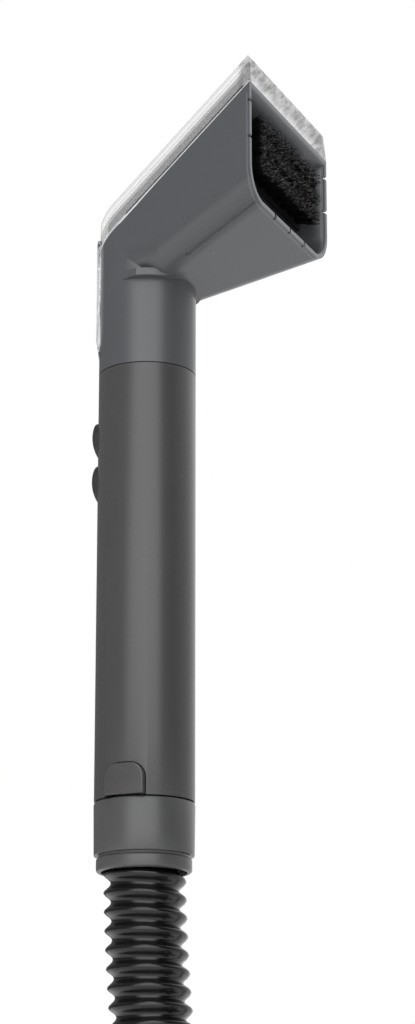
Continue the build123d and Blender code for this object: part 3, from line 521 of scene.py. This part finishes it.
def thumb_button(name, low, high):
    """A domed cap between two heights, with its flange."""
    half = BUTTON_WIDTH / 2
    crown = HANDLE_RADIUS + BUTTON_RISE
    cap = block(
        name,
        place(-crown - CAP_MARGIN, -half, low),
        place(-FLANGE_FRONT, half, high),
        axis=0, corner=BUTTON_CORNER,
    )
    bpy.ops.object.select_all(action="DESELECT")
    centre = place(DOME_RADIUS - crown, 0, (low + high) / 2 + PEAK_SHIFT)
    bpy.ops.mesh.primitive_uv_sphere_add(
        segments=BALL_SEGMENTS, ring_count=BALL_SEGMENTS // 2, radius=DOME_RADIUS * MM, location=centre
    )
    ball = bpy.context.object
    bpy.ops.object.transform_apply(location=True, rotation=True, scale=True)
    carve(cap, ball, "INTERSECT")
    soften(cap, width=0.5, angle=40, segments=3)
    flange = block(
        "flange",
        place(-FLANGE_FRONT, -half - FLANGE_LIP, low),
        place(-FLANGE_BACK, half + FLANGE_LIP, high),
        axis=0, corner=0.5, segments=2,
    )
    pick(cap, flange)
    bpy.ops.object.join()
    return cap


lower = thumb_button("lower_thumb_cap", BUTTON_LOW, BUTTON_LOW + LOWER_LENGTH)
keep(lower, "lower_button", "button_dark", "lower_button")
upper = thumb_button("upper_thumb_cap", BUTTON_HIGH - UPPER_LENGTH, BUTTON_HIGH)
keep(upper, "upper_button", "button_dark", "upper_button")

# %% [markdown]
# Below the seam the cuff carries on the handle's line. It is a turned sleeve with a slim
# spigot that plugs up into the handle, and the collar under it is a separate ring with a
# rounded lip. A dark groove is left between the two.

# %% Cuff and collar
CUFF_RINGS = [
    (11.6, 20.0), (14.3, 20.0), (14.3, 8.2), (13.2, 8.2), (13.2, 3.3), (14.3, 3.3), (14.3, -0.4),
    (19.6, -0.4), (20.1, -1.3), (19.85, -21.3), (17.95, -21.3), (17.95, -22.4), (17.0, -22.4),
    (17.0, -4.0), (11.6, -4.0), (11.6, -18.0), (10.2, -18.0), (10.2, -2.6), (11.6, -1.2),
]
COLLAR_RINGS = [
    (17.0, -22.4), (18.5, -22.4), (18.9, -22.9), (18.9, -26.7), (18.7, -27.3), (18.2, -27.7),
    (17.6, -27.8), (17.0, -27.8),
]
cuff = turned("cuff_sleeve", CUFF_RINGS)
soften(cuff, width=0.4)
keep(cuff, "handle", "cuff_grey", "hose_cuff")
collar = turned("collar_ring", COLLAR_RINGS)
soften(collar, width=0.15, angle=50)
keep(collar, "handle", "cuff_grey", "hose_collar")

# %% [markdown]
# The suction head is the one piece that no primitive comes near: a round neck with a low
# ledge, a fan in plan, a slanted roof and two round lower corners. The solid holds exactly
# that shape, so the head is a recast with its edges softened. Before that, the inner edge of
# the mouth gets a wide round and its outer edge a smaller one, so that the rim reads as two
# thin bright lines. Afterwards a fine round groove is cut along each lower corner, where the
# mould's halves met. Weighted normals let the large flat sides shade flat and leave the
# gradients to the rounded corners.

# %% Suction head
MOUTH_FRONT = 64.0
INNER_ROUND = 1.2
OUTER_ROUND = 0.9
MOUTH_TOP = 280.6
RIM_TOLERANCE = 2.0
GROOVE = ((27.0, 22.0, 219.35), (62.5, 34.3, 232.38))
GROOVE_RADIUS = 0.5


def round_rim(obj, facing, width):
    """Bevel the edges of the mouth's flat rim, inside with facing 1 or outside with -1."""
    pick(obj)
    bpy.ops.object.mode_set(mode="EDIT")
    bpy.ops.mesh.select_mode(type="EDGE")
    bpy.ops.mesh.select_all(action="DESELECT")
    shape = bmesh.from_edit_mesh(obj.data)
    front = [
        edge for edge in shape.edges
        if all(abs(vertex.co.x - MOUTH_FRONT * MM) < FLUSH for vertex in edge.verts)
    ]
    rim = [vertex.co for edge in front for vertex in edge.verts]
    middle = sum(rim, Vector()) / len(rim)
    for edge in front:
        place_of_edge = (edge.verts[0].co + edge.verts[1].co) / 2
        inward = middle - place_of_edge
        below_top = place_of_edge.z < up(MOUTH_TOP) - RIM_TOLERANCE * MM
        turns = any(facing * face.normal.dot(inward) > RIM_TOLERANCE * MM for face in edge.link_faces)
        edge.select_set(turns and (below_top or facing > 0))
    bmesh.update_edit_mesh(obj.data)
    bpy.ops.mesh.bevel(offset=width * MM, segments=4, affect="EDGES", clamp_overlap=True)
    bpy.ops.object.mode_set(mode="OBJECT")


def groove(start, end):
    """A slim bar between two places, to cut a groove with."""
    run = end - start
    bpy.ops.object.select_all(action="DESELECT")
    bpy.ops.mesh.primitive_cylinder_add(
        vertices=12, radius=GROOVE_RADIUS * MM, depth=run.length, location=(start + end) / 2,
        rotation=run.to_track_quat("Z", "Y").to_euler(),
    )
    return bpy.context.object


head = recast("nozzle_body", "suction_head")
round_rim(head, 1, INNER_ROUND)
round_rim(head, -1, OUTER_ROUND)
soften(head, width=0.3, angle=28, segments=3)
for side in (1, -1):
    ends = [place(x, side * y, height) for x, y, height in GROOVE]
    carve(head, groove(*ends))
keep(head, "head", "head_grey", "nozzle_body", flat_first=True)

# %% [markdown]
# The clear cover is recast too. Clear mouldings show every facet, so its walls stay flat and
# only its edges are rounded. The tongue that runs down the back of the neck belongs to it. The
# milky seal under the cover is squeezed in use, so it swells a little towards the outside.

# %% Clear cover and its seal
SEAL_SWELL = 0.25

cover = recast("clear_cover", "clear_hood")
soften(cover, width=0.3, angle=28, segments=3)
keep(cover, "head", "clear_plastic", "clear_cover", smooth_angle=25)
seal = recast("cover_seal", "hood_seal")
modify(seal, "DISPLACE", strength=SEAL_SWELL * MM, mid_level=0.0)
keep(seal, "head", "line_clear", "cover_seal")

# %% [markdown]
# A brush fills the middle of the mouth. Its bristles stand in tufts, in rows and columns.
# Each one leans out from its tuft's middle and is crimped a little at random, from a fixed
# seed, so that the tips form a woolly field. A slim four-sided skin goes round each of them.

# %% Brush
BRUSH_ROOT = 54.5
BRUSH_BACKING = 1.0
BRUSH_TIP = 65.5
TUFT_COLUMNS = 8
TUFT_ROWS = 3
STRANDS = 90
STRAND_RINGS = 6
STRAND_SIDES = 4
TUFT_ROOT_RADIUS = 2.2
TUFT_TIP_RADIUS = 4.4
STRAND_ROOT = 0.17
STRAND_TIP = 0.14
CRIMP = 0.55
CRIMP_WAVES = 1.6
STRAND_SEED = 7
GOLDEN_ANGLE = math.pi * (3 - math.sqrt(5))
TURN_JITTER = 0.3
LEAN_JITTER = 0.5
LENGTH_JITTER = 1.6

brush_low, brush_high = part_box("bristles")
random.seed(STRAND_SEED)


def strand_points(tuft_y, tuft_z, number):
    """Points down the middle of one crimped bristle, from its root to its tip."""
    share = math.sqrt((number + 0.5) / STRANDS)
    turn = number * GOLDEN_ANGLE + random.uniform(-TURN_JITTER, TURN_JITTER)
    lean = TUFT_TIP_RADIUS * share + random.uniform(-LEAN_JITTER, LEAN_JITTER)
    length = BRUSH_TIP - BRUSH_ROOT - random.uniform(0, LENGTH_JITTER)
    phase, heading = random.random(), random.uniform(0, 2 * math.pi)
    along = np.linspace(0, 1, STRAND_RINGS)
    reach = TUFT_ROOT_RADIUS * share * (1 - along) + lean * along
    sway = CRIMP * along * np.sin(2 * math.pi * (CRIMP_WAVES * along + phase))
    x = BRUSH_ROOT + length * along
    y = tuft_y + reach * math.cos(turn) + sway * math.cos(heading)
    z = tuft_z + reach * math.sin(turn) + sway * math.sin(heading)
    return np.stack([x, y, z], axis=-1)


def brush_field():
    """All tufts of the brush in one mesh: a four-sided skin round each bristle."""
    low, size = brush_low / MM, (brush_high - brush_low) / MM
    turn = np.arange(STRAND_SIDES) * 2 * math.pi / STRAND_SIDES
    width = np.linspace(STRAND_ROOT, STRAND_TIP, STRAND_RINGS)[:, None]
    around = np.stack([np.zeros(STRAND_SIDES), np.cos(turn), np.sin(turn)], axis=-1)
    points, faces = [], []
    for column in range(TUFT_COLUMNS):
        for row in range(TUFT_ROWS):
            tuft_y = low.y + size.y * (column + 0.5) / TUFT_COLUMNS
            tuft_z = low.z + size.z * (row + 0.5) / TUFT_ROWS
            for number in range(STRANDS):
                first = STRAND_SIDES * STRAND_RINGS * len(points)
                middle = strand_points(tuft_y, tuft_z, number)
                points.append(middle[:, None, :] + width[:, :, None] * around)
                for ring in range(STRAND_RINGS - 1):
                    at = first + STRAND_SIDES * ring
                    above = at + STRAND_SIDES
                    for side in range(STRAND_SIDES):
                        after = (side + 1) % STRAND_SIDES
                        faces.append((at + side, at + after, above + after, above + side))
                last = first + STRAND_SIDES * (STRAND_RINGS - 1)
                faces.append(tuple(reversed(range(first, first + STRAND_SIDES))))
                faces.append(tuple(range(last, last + STRAND_SIDES)))
    mesh = bpy.data.meshes.new("brush_field")
    mesh.from_pydata((np.concatenate(points).reshape(-1, 3) * MM).tolist(), [], faces)
    brush = bpy.data.objects.new("brush_field", mesh)
    bpy.context.scene.collection.objects.link(brush)
    return brush


brush = brush_field()
backing = block(
    "backing", (BRUSH_ROOT * MM, brush_low.y, brush_low.z),
    ((BRUSH_ROOT + BRUSH_BACKING) * MM, brush_high.y, brush_high.z), axis=0, corner=0.8, segments=3,
)
pick(brush, backing)
bpy.ops.object.join()
keep(brush, "head", "bristle_black", "bristles", smooth_angle=60)

# %% [markdown]
# The far end of the hose is put away in one turn. A woven strap ties it, and a plug for the
# machine's port ends it. The strap is a circle pulled apart into a long loop. The plug is
# turned upright and then laid on its side.

# %% Strap and plug
TIE_THICKNESS = 0.8
TIE_PATCH_LENGTH = 24.0
tie_low, tie_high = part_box("coil_tie")


def strap():
    """A band round the two runs of hose, with its sewn end laid over it."""
    radius = (tie_high.y - tie_low.y) / 2 - TIE_THICKNESS * MM
    foot = tie_low.z + radius + TIE_THICKNESS * MM
    bpy.ops.object.select_all(action="DESELECT")
    bpy.ops.mesh.primitive_cylinder_add(
        vertices=64, radius=radius, depth=tie_high.x - tie_low.x, end_fill_type="NOTHING",
        rotation=(0, math.pi / 2, 0), location=((tie_low.x + tie_high.x) / 2, 0, foot),
    )
    band = bpy.context.object
    band.name = "coil_strap"
    bpy.ops.object.transform_apply(location=True, rotation=True, scale=True)
    bpy.ops.object.mode_set(mode="EDIT")
    bpy.ops.mesh.select_all(action="DESELECT")
    shape = bmesh.from_edit_mesh(band.data)
    for vertex in shape.verts:
        vertex.select_set(vertex.co.z > foot + FLUSH)
    shape.select_flush_mode()
    bmesh.update_edit_mesh(band.data)
    bpy.ops.transform.translate(value=(0, 0, COIL_RISE * MM))
    bpy.ops.object.mode_set(mode="OBJECT")
    modify(band, "SOLIDIFY", thickness=TIE_THICKNESS * MM, offset=1)
    middle = (tie_low.z + tie_high.z) / 2
    overlap = block(
        "overlap",
        (tie_low.x + MM, tie_low.y - TIE_THICKNESS * MM, middle - TIE_PATCH_LENGTH * MM / 2),
        (tie_high.x - MM, tie_low.y + TIE_THICKNESS * MM / 4, middle + TIE_PATCH_LENGTH * MM / 2),
        axis=1, corner=2.0, segments=4,
    )
    pick(band, overlap)
    bpy.ops.object.join()
    soften(band, width=0.2, angle=50)
    return band


tie = strap()
keep(tie, "handle", "strap_black", "coil_tie")

PLUG_RINGS = [
    (10.2, 14.0), (11.6, 14.0), (11.6, 0.0), (16.1, 0.0), (17.1, -1.0),
    (17.1, -4.0), (16.4, -4.6), (16.4, -6.4), (17.1, -7.0), (17.1, -9.0), (16.4, -9.6), (16.4, -11.4),
    (17.1, -12.0), (17.1, -19.0), (16.1, -20.0), (14.5, -20.0), (14.5, -39.0), (13.8, -40.0), (10.2, -40.0),
]
plug = turned("hose_plug", PLUG_RINGS, segments=96)
hose_end = hose_points[-1]
lay_down = Matrix.Translation(Vector(hose_end)) @ Matrix.Rotation(-math.pi / 2, 4, "Y")
plug.data.transform(lay_down @ Matrix.Translation((0, 0, -SEAM)))
soften(plug, width=0.2, angle=50)
keep(plug, "handle", "button_dark", "machine_plug")
place(0, 0, -21.5)

# %% [markdown]
# Four springs sit out of sight behind the buttons and tabs. They are recast, and each gets a mesh of its
# own.

# %% Springs
SPRINGS = {
    "upper_button_spring": ("upper_button_press", (1, 0, 0), place(-9.1, 0, 150.7), 0.52),
    "lower_button_spring": ("lower_button_press", (1, 0, 0), place(-9.1, 0, 131.7), 0.52),
    "right_tab_spring": ("right_tab_press", (0, 1, 0), place(0, -15.3, 10.5), 0.42),
    "left_tab_spring": ("left_tab_press", (0, 1, 0), place(0, 15.3, 10.5), 0.42),
}
for node, (joint, axis, anchor, share) in SPRINGS.items():
    spring = recast(node, f"{node}_piece")
    keep(spring, "handle", "spring_steel", node, smooth_angle=50)
    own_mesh(spring)

# %% [markdown]
# Now the finishes. Shader sums read best as sums, so a small class wraps a socket and lets
# Python's operators add the Math nodes. A finish is one material: it makes nodes on demand,
# and its pattern is fixed to the object, so it stays put when a piece moves.


# %% Shader expressions
class Wire:
    """A shader value that Python's operators can combine."""

    def __init__(self, nodes, socket):
        self.nodes = nodes
        self.socket = socket

    def math(self, operation, first, second):
        return self.nodes.node("ShaderNodeMath", {"operation": operation}, {0: first, 1: second})

    def __add__(self, other):
        return self.math("ADD", self, other)

    def __radd__(self, other):
        return self.math("ADD", other, self)

    def __sub__(self, other):
        return self.math("SUBTRACT", self, other)

    def __rsub__(self, other):
        return self.math("SUBTRACT", other, self)

    def __mul__(self, other):
        return self.math("MULTIPLY", self, other)

    def __rmul__(self, other):
        return self.math("MULTIPLY", other, self)


class Nodes:
    """A node tree that is written as Python expressions."""

    def __init__(self, tree):
        self.tree = tree
        tree.nodes.clear()

    def node(self, kind, settings=None, sockets=None, out=0):
        """Make a node of a type, with its settings first and then its sockets."""
        made = self.tree.nodes.new(kind)
        for key, value in (settings or {}).items():
            if key == "stops":
                self.set_stops(made.color_ramp, value)
            else:
                setattr(made, key, value)
        for key, value in (sockets or {}).items():
            self.plug(made.inputs[key], value)
        return Wire(self, made.outputs[out])

    def plug(self, socket, value):
        if isinstance(value, Wire):
            self.tree.links.new(value.socket, socket)
        else:
            socket.default_value = value

    @staticmethod
    def set_stops(ramp, stops):
        while len(ramp.elements) < len(stops):
            ramp.elements.new(1.0)
        for element, (position, level) in zip(ramp.elements, stops):
            element.position = position
            element.color = (level, level, level, 1)

    def noise(self, scale, detail=2.0):
        coords = self.node("ShaderNodeTexCoord", out=3)
        return self.node(
            "ShaderNodeTexNoise", None, {"Vector": coords, "Scale": scale, "Detail": detail}
        )

    def ramp(self, value, stops):
        return self.node("ShaderNodeValToRGB", {"stops": stops}, {"Fac": value})

    def mix(self, factor, first, second):
        first, second = (c if isinstance(c, Wire) else (*c, 1) for c in (first, second))
        return self.node(
            "ShaderNodeMix", {"data_type": "RGBA"}, {0: factor, 6: first, 7: second}, out=2,
        )

    def axis(self, number):
        """One coordinate of the object's own space: 0, 1 or 2 for x, y or z."""
        coords = self.node("ShaderNodeTexCoord", out=3)
        return self.node("ShaderNodeSeparateXYZ", None, {0: coords}, out=number)

    def span(self, value, start, end):
        """How far a value has gone from a start to an end in millimetres, from 0 to 1."""
        return self.node(
            "ShaderNodeMapRange", None, {"Value": value, "From Min": start * MM, "From Max": end * MM}
        )

    def bump(self, height, distance):
        return self.node("ShaderNodeBump", None, {"Height": height, "Distance": distance})


class Finish(Nodes):
    """One material with a principled shader."""

    def __init__(self, name):
        self.material = bpy.data.materials.new(name)
        self.material.use_nodes = True
        super().__init__(self.material.node_tree)
        shader = self.tree.nodes.new("ShaderNodeBsdfPrincipled")
        self.output = self.tree.nodes.new("ShaderNodeOutputMaterial")
        self.tree.links.new(shader.outputs[0], self.output.inputs[0])
        self.shader = shader

    def shade(self, sockets):
        for key, value in sockets.items():
            self.plug(self.shader.inputs[key], value)
        return self.material


def shaded(colour, share):
    """A colour made lighter or darker by a share."""
    return tuple(value * share for value in colour)


# %% [markdown]
# The moulded greys are one recipe. A mould's spark-eroded skin gives a fine grain that only
# breaks up the gloss, a slow cloud shifts the tone a little, and fingers leave it slightly
# smoother in places. The head also has a painted highlight: its colour is painted pale along
# the rim of its mouth, and along the low step behind the rim.


# %% Moulded plastics
ROOF_SLOPE = 0.605
ROOF_FOOT = 241.9
ROOF_MASK = (-3.0, -4.0)
# Painted highlight: spans along x where the mouth's rim and the step behind it are painted pale.
RIM_HIGHLIGHT_SPAN = (63.6, 63.8)
STEP_HIGHLIGHT_SPAN = (61.6, 64.0)
STEP_HIGHLIGHT_SHARE = 0.7
STEP_HIGHLIGHT_STOPS = ((0.0, 0.0), (0.14, 0.0), (0.26, 1.0), (0.40, 1.0), (0.52, 0.0), (1.0, 0.0))
GRAIN_SCALE = 1800.0
GRAIN_DEPTH = 0.003
GLOSS_SPREAD = 0.02


def roof_lift(finish):
    """Height in metres over the head's slanted roof."""
    return finish.axis(2) - ROOF_SLOPE * finish.axis(0) - up(ROOF_FOOT)


def rim_painted_highlight(finish):
    """Where the head's colour gets a painted highlight: the mouth's rim, and the step behind it outside."""
    x = finish.axis(0)
    step = finish.ramp(finish.span(x, *STEP_HIGHLIGHT_SPAN), STEP_HIGHLIGHT_STOPS)
    below_roof = finish.span(roof_lift(finish), *ROOF_MASK)
    return finish.span(x, *RIM_HIGHLIGHT_SPAN) + STEP_HIGHLIGHT_SHARE * step * below_roof


def moulded(name, colour, roughness, cloudiness=0.06, rim_highlight_gain=1.0):
    """A moulded plastic, cloudy by a share, and with a painted rim highlight at a multiple of its colour.
    """
    finish = Finish(name)
    cloud = finish.noise(scale=14.0, detail=3.0)
    handling = finish.noise(scale=55.0, detail=4.0)
    skin = finish.noise(GRAIN_SCALE)
    tone = finish.mix(cloud, shaded(colour, 1 - cloudiness), shaded(colour, 1 + cloudiness))
    # Painted highlight: the head's rim and step are painted paler than its plastic.
    if rim_highlight_gain > 1:
        tone = finish.mix(rim_painted_highlight(finish), tone, shaded(colour, rim_highlight_gain))
    return finish.shade({
        "Base Color": tone,
        "Roughness": roughness - GLOSS_SPREAD + 2 * GLOSS_SPREAD * handling,
        "IOR": 1.5,
        "Normal": finish.bump(skin, GRAIN_DEPTH * MM),
    })


# %% [markdown]
# The clear cover is a thin, slightly milky moulding. Most light passes it and the rest is
# scattered. Its foot carries a grey band of painted shade, two fine lines of painted shade run along
# its roof's edge, and the lip at the front is mottled. All but the lip is measured from the head's roof.


# %% Clear, rubber, wire and cloth
LIFT_START = -3.0
LIFT_SPAN = 18.0
CLEAR_TINT = 0.94
# Painted shade: the cover's grey band and two fine grey lines, by height over the head's roof.
COVER_SHADE_STOPS = (
    (0.0, 0.80), (0.23, 0.80), (0.25, 0.38), (0.54, 0.38), (0.57, CLEAR_TINT), (0.725, CLEAR_TINT),
    (0.735, 0.62), (0.75, 0.62), (0.757, CLEAR_TINT), (0.766, CLEAR_TINT), (0.772, 0.62), (0.81, 0.62),
    (0.825, CLEAR_TINT), (1.0, CLEAR_TINT),
)
COVER_TIP = (59.5, 61.5)
COVER_LIP = (57.0, 60.0)
MOTTLE_STOPS = ((0.40, 0.30), (0.64, 0.68))
# Painted highlight: the last stretch of each bristle is painted paler.
BRISTLE_LIT_ENDS = (BRUSH_TIP - 2.2, BRUSH_TIP - 0.8)
SPECKLE_STOPS = ((0.42, 0.0), (0.62, 1.0))


def clear_plastic(name):
    """The clear cover, with its painted band and lines of shade, and its mottled lip."""
    finish = Finish(name)
    x = finish.axis(0)
    # Painted shade: the band and lines darken the cover's colour.
    band = finish.ramp(finish.span(roof_lift(finish), LIFT_START, LIFT_START + LIFT_SPAN), COVER_SHADE_STOPS)
    tip = finish.span(x, *COVER_TIP)
    lip = finish.span(x, *COVER_LIP)
    mottle = finish.ramp(finish.noise(scale=330.0, detail=3.0), MOTTLE_STOPS)
    return finish.shade({
        "Base Color": (band * (1 - tip) + CLEAR_TINT * tip) * (1 - lip * mottle),
        "Roughness": 0.03 + 0.04 * finish.noise(scale=60.0, detail=3.0),
        "IOR": 1.06,
        "Transmission Weight": 0.92,
        "Normal": finish.bump(finish.noise(scale=160.0), 0.015 * MM),
    })


def bristle_black(name):
    """Black bristles whose ends are painted paler as a painted highlight; the near-black sides are also
    painted shade.
    """
    finish = Finish(name)
    tip = finish.span(finish.axis(0), *BRISTLE_LIT_ENDS)
    speckle = finish.noise(scale=900.0, detail=1.0)
    # Painted highlight on the bristle tips; the near-black sides are also painted shade.
    lit_tips = tip * finish.ramp(speckle, SPECKLE_STOPS)
    return finish.shade({
        "Base Color": finish.mix(lit_tips, (0.005, 0.005, 0.005), (0.14, 0.14, 0.138)),
        "Roughness": 0.6 + 0.1 * speckle,
        "Specular IOR Level": 0.12,
    })


def rubber(name, colour):
    """Dull rubber with a little dust."""
    finish = Finish(name)
    dust = finish.noise(scale=120.0, detail=4.0)
    return finish.shade({
        "Base Color": finish.mix(dust, shaded(colour, 0.85), shaded(colour, 1.2)),
        "Roughness": 0.62 + 0.12 * dust,
        "Normal": finish.bump(finish.noise(scale=1500.0), 0.015 * MM),
    })


def drawn_steel(name):
    """Bright wire with faint drawing marks."""
    finish = Finish(name)
    lines = finish.noise(scale=700.0, detail=2.0)
    return finish.shade({
        "Base Color": finish.mix(lines, (0.45, 0.45, 0.45), (0.62, 0.62, 0.61)),
        "Roughness": 0.24 + 0.14 * lines,
        "Metallic": 1.0,
    })


def woven_strap(name):
    """Webbing with a raised weave."""
    finish = Finish(name)
    coords = finish.node("ShaderNodeTexCoord", out=3)
    weave = finish.node(
        "ShaderNodeTexWave", {"wave_type": "BANDS", "bands_direction": "X"},
        {"Vector": coords, "Scale": 300.0, "Distortion": 0.4}, out=1,
    )
    return finish.shade({
        "Base Color": finish.mix(weave, (0.012, 0.012, 0.012), (0.035, 0.035, 0.036)),
        "Roughness": 0.8 + 0.1 * weave,
        "Sheen Weight": 0.3,
        "Normal": finish.bump(weave, 0.2 * MM),
    })


finishes = {
    "handle_grey": moulded("handle_grey", (0.055, 0.055, 0.055), roughness=0.27),
    "head_grey": moulded("head_grey", (0.074, 0.077, 0.082), roughness=0.28, rim_highlight_gain=2.0),
    "cuff_grey": moulded("cuff_grey", (0.069, 0.070, 0.071), roughness=0.30),
    "button_dark": moulded("button_dark", (0.020, 0.020, 0.021), roughness=0.40),
    "hose_black": moulded("hose_black", (0.006, 0.006, 0.006), roughness=0.20, cloudiness=0.2),
    "brush_grey": moulded("brush_grey", (0.028, 0.028, 0.029), roughness=0.5),
    "duct_grey": moulded("duct_grey", (0.19, 0.19, 0.195), roughness=0.5),
    "valve_white": moulded("valve_white", (0.72, 0.72, 0.70), roughness=0.45),
    "line_clear": moulded("line_clear", (0.62, 0.64, 0.65), roughness=0.35),
    "clear_plastic": clear_plastic("clear_plastic"),
    "bristle_black": bristle_black("bristle_black"),
    "black_rubber": rubber("black_rubber", (0.015, 0.015, 0.015)),
    "spring_steel": drawn_steel("spring_steel"),
    "strap_black": woven_strap("strap_black"),
}
print("finishes:", ", ".join(finishes))

# %% [markdown]
# Each new piece takes the finish of its slot, and so does every solid that still shows.

# %% Put the finishes on
for name, slot in pieces.items():
    bpy.data.objects[name].data.materials.clear()
    bpy.data.objects[name].data.materials.append(finishes[slot])
for part in frame["record"]["subparts"]:
    for holder in frame["nodes"][part["node"]].material_slots:
        holder.material = finishes[part["material_slot"]]
print(len(pieces), "pieces and", len(frame["nodes"]), "nodes are finished")

# %% [markdown]
# The light is a product photographer's: a large soft box beside the camera, a smaller one above
# and one that brightens the floor at the back, and a white room that does the rest. The room is
# white to the camera and to whatever is seen through clear plastic. In reflections it is a ring
# of cards: a bright one behind the camera draws the broad stripe down the handle, a dark one at
# the right front and dark ones at the left and the back give the round handle its form.

# %% Room and lamps
AMBIENT = 0.55
SOFT_BOX_POWER = 22.0
CARD_LEVEL = 2.3
# name, azimuth and elevation in degrees, distance, width and height in metres, power in watts
LAMPS = (
    ("key", -84, 22, 1.7, 1.9, 2.2, SOFT_BOX_POWER),
    ("top", -120, 65, 1.8, 1.4, 1.4, SOFT_BOX_POWER / 3),
    ("back", 95, 48, 1.8, 1.6, 1.6, SOFT_BOX_POWER * 0.6),
)
ROOM_STOPS = (
    (0.0, 0.08), (0.175, 0.08), (0.24, 1.0), (0.39, 1.0), (0.43, 0.0), (0.505, 0.0),
    (0.54, 0.11), (0.58, 0.235), (0.62, 0.30), (0.67, 0.42), (0.80, 0.5), (0.84, 0.08), (1.0, 0.08),
)
scene = bpy.context.scene
room = bpy.data.worlds.new("room")
scene.world = room
room.use_nodes = True
sky = Nodes(room.node_tree)
direction = sky.node("ShaderNodeTexCoord", out=0)
azimuth = sky.node("ShaderNodeMath", {"operation": "ARCTAN2"}, {
    0: sky.node("ShaderNodeSeparateXYZ", None, {0: direction}, out=1),
    1: sky.node("ShaderNodeSeparateXYZ", None, {0: direction}, out=0),
})
cards = sky.ramp(azimuth * (0.5 / math.pi) + 0.5, ROOM_STOPS) * CARD_LEVEL
path = sky.tree.nodes.new("ShaderNodeLightPath")
seen = sky.node("ShaderNodeMath", {"operation": "MAXIMUM"}, {
    0: Wire(sky, path.outputs["Is Camera Ray"]), 1: Wire(sky, path.outputs["Is Transmission Ray"]),
})
glossy = Wire(sky, path.outputs["Is Glossy Ray"])
level = seen + (1 - seen) * (glossy * cards + (1 - glossy) * AMBIENT)
back = sky.node("ShaderNodeBackground", None, {0: (1, 1, 1, 1), 1: level})
sky.plug(room.node_tree.nodes.new("ShaderNodeOutputWorld").inputs[0], back)


def soft_box(name, azimuth, elevation, distance, width, height, power):
    """An area lamp that faces the middle of the tool."""
    lamp = bpy.data.lights.new(name, "AREA")
    lamp.shape = "RECTANGLE"
    lamp.size = width
    lamp.size_y = height
    lamp.energy = power
    obj = bpy.data.objects.new(name, lamp)
    turn, rise = math.radians(azimuth), math.radians(elevation)
    aim = Vector((math.cos(turn) * math.cos(rise), math.sin(turn) * math.cos(rise), math.sin(rise)))
    obj.location = aim * distance
    obj.rotation_euler = aim.to_track_quat("Z", "Y").to_euler()
    obj.visible_glossy = False
    obj.visible_transmission = False
    scene.collection.objects.link(obj)


for lamp in LAMPS:
    soft_box(*lamp)
print(len(LAMPS), "lamps and a room of", len(ROOM_STOPS), "stops")

# %% [markdown]
# The floor is a pale disc. Near the tool it keeps the shadow. Further out it fades to the
# white of the room, but only to the camera, so that it still lights the tool from below.

# %% Floor
FLOOR_RADIUS = 1.9
FADE_START = 550.0
FADE_END = 1500.0

bpy.ops.object.select_all(action="DESELECT")
bpy.ops.mesh.primitive_circle_add(
    vertices=128, radius=FLOOR_RADIUS, fill_type="NGON", location=(0, 0, cad_box[0][2])
)
floor = bpy.context.object
floor.name = "floor"
pale = Finish("floor")
floor.data.materials.append(pale.shade({"Base Color": (0.92, 0.92, 0.92, 1), "Roughness": 0.7}))
spot = pale.node("ShaderNodeTexCoord", out=3)
distance = pale.node("ShaderNodeVectorMath", {"operation": "LENGTH"}, {0: spot}, out=1)
white = pale.node("ShaderNodeEmission", None, {0: (1, 1, 1, 1), 1: 1.0})
blend = pale.node("ShaderNodeMixShader", None, {
    0: pale.span(distance, FADE_START, FADE_END) * pale.node("ShaderNodeLightPath", out="Is Camera Ray"),
    1: Wire(pale, pale.shader.outputs[0]),
    2: white,
})
pale.plug(pale.output.inputs[0], blend)
print("floor of", FLOOR_RADIUS, "m radius")

# %% [markdown]
# Last, the view settings stay plain.

# %% Finish
scene.view_settings.view_transform = "Standard"
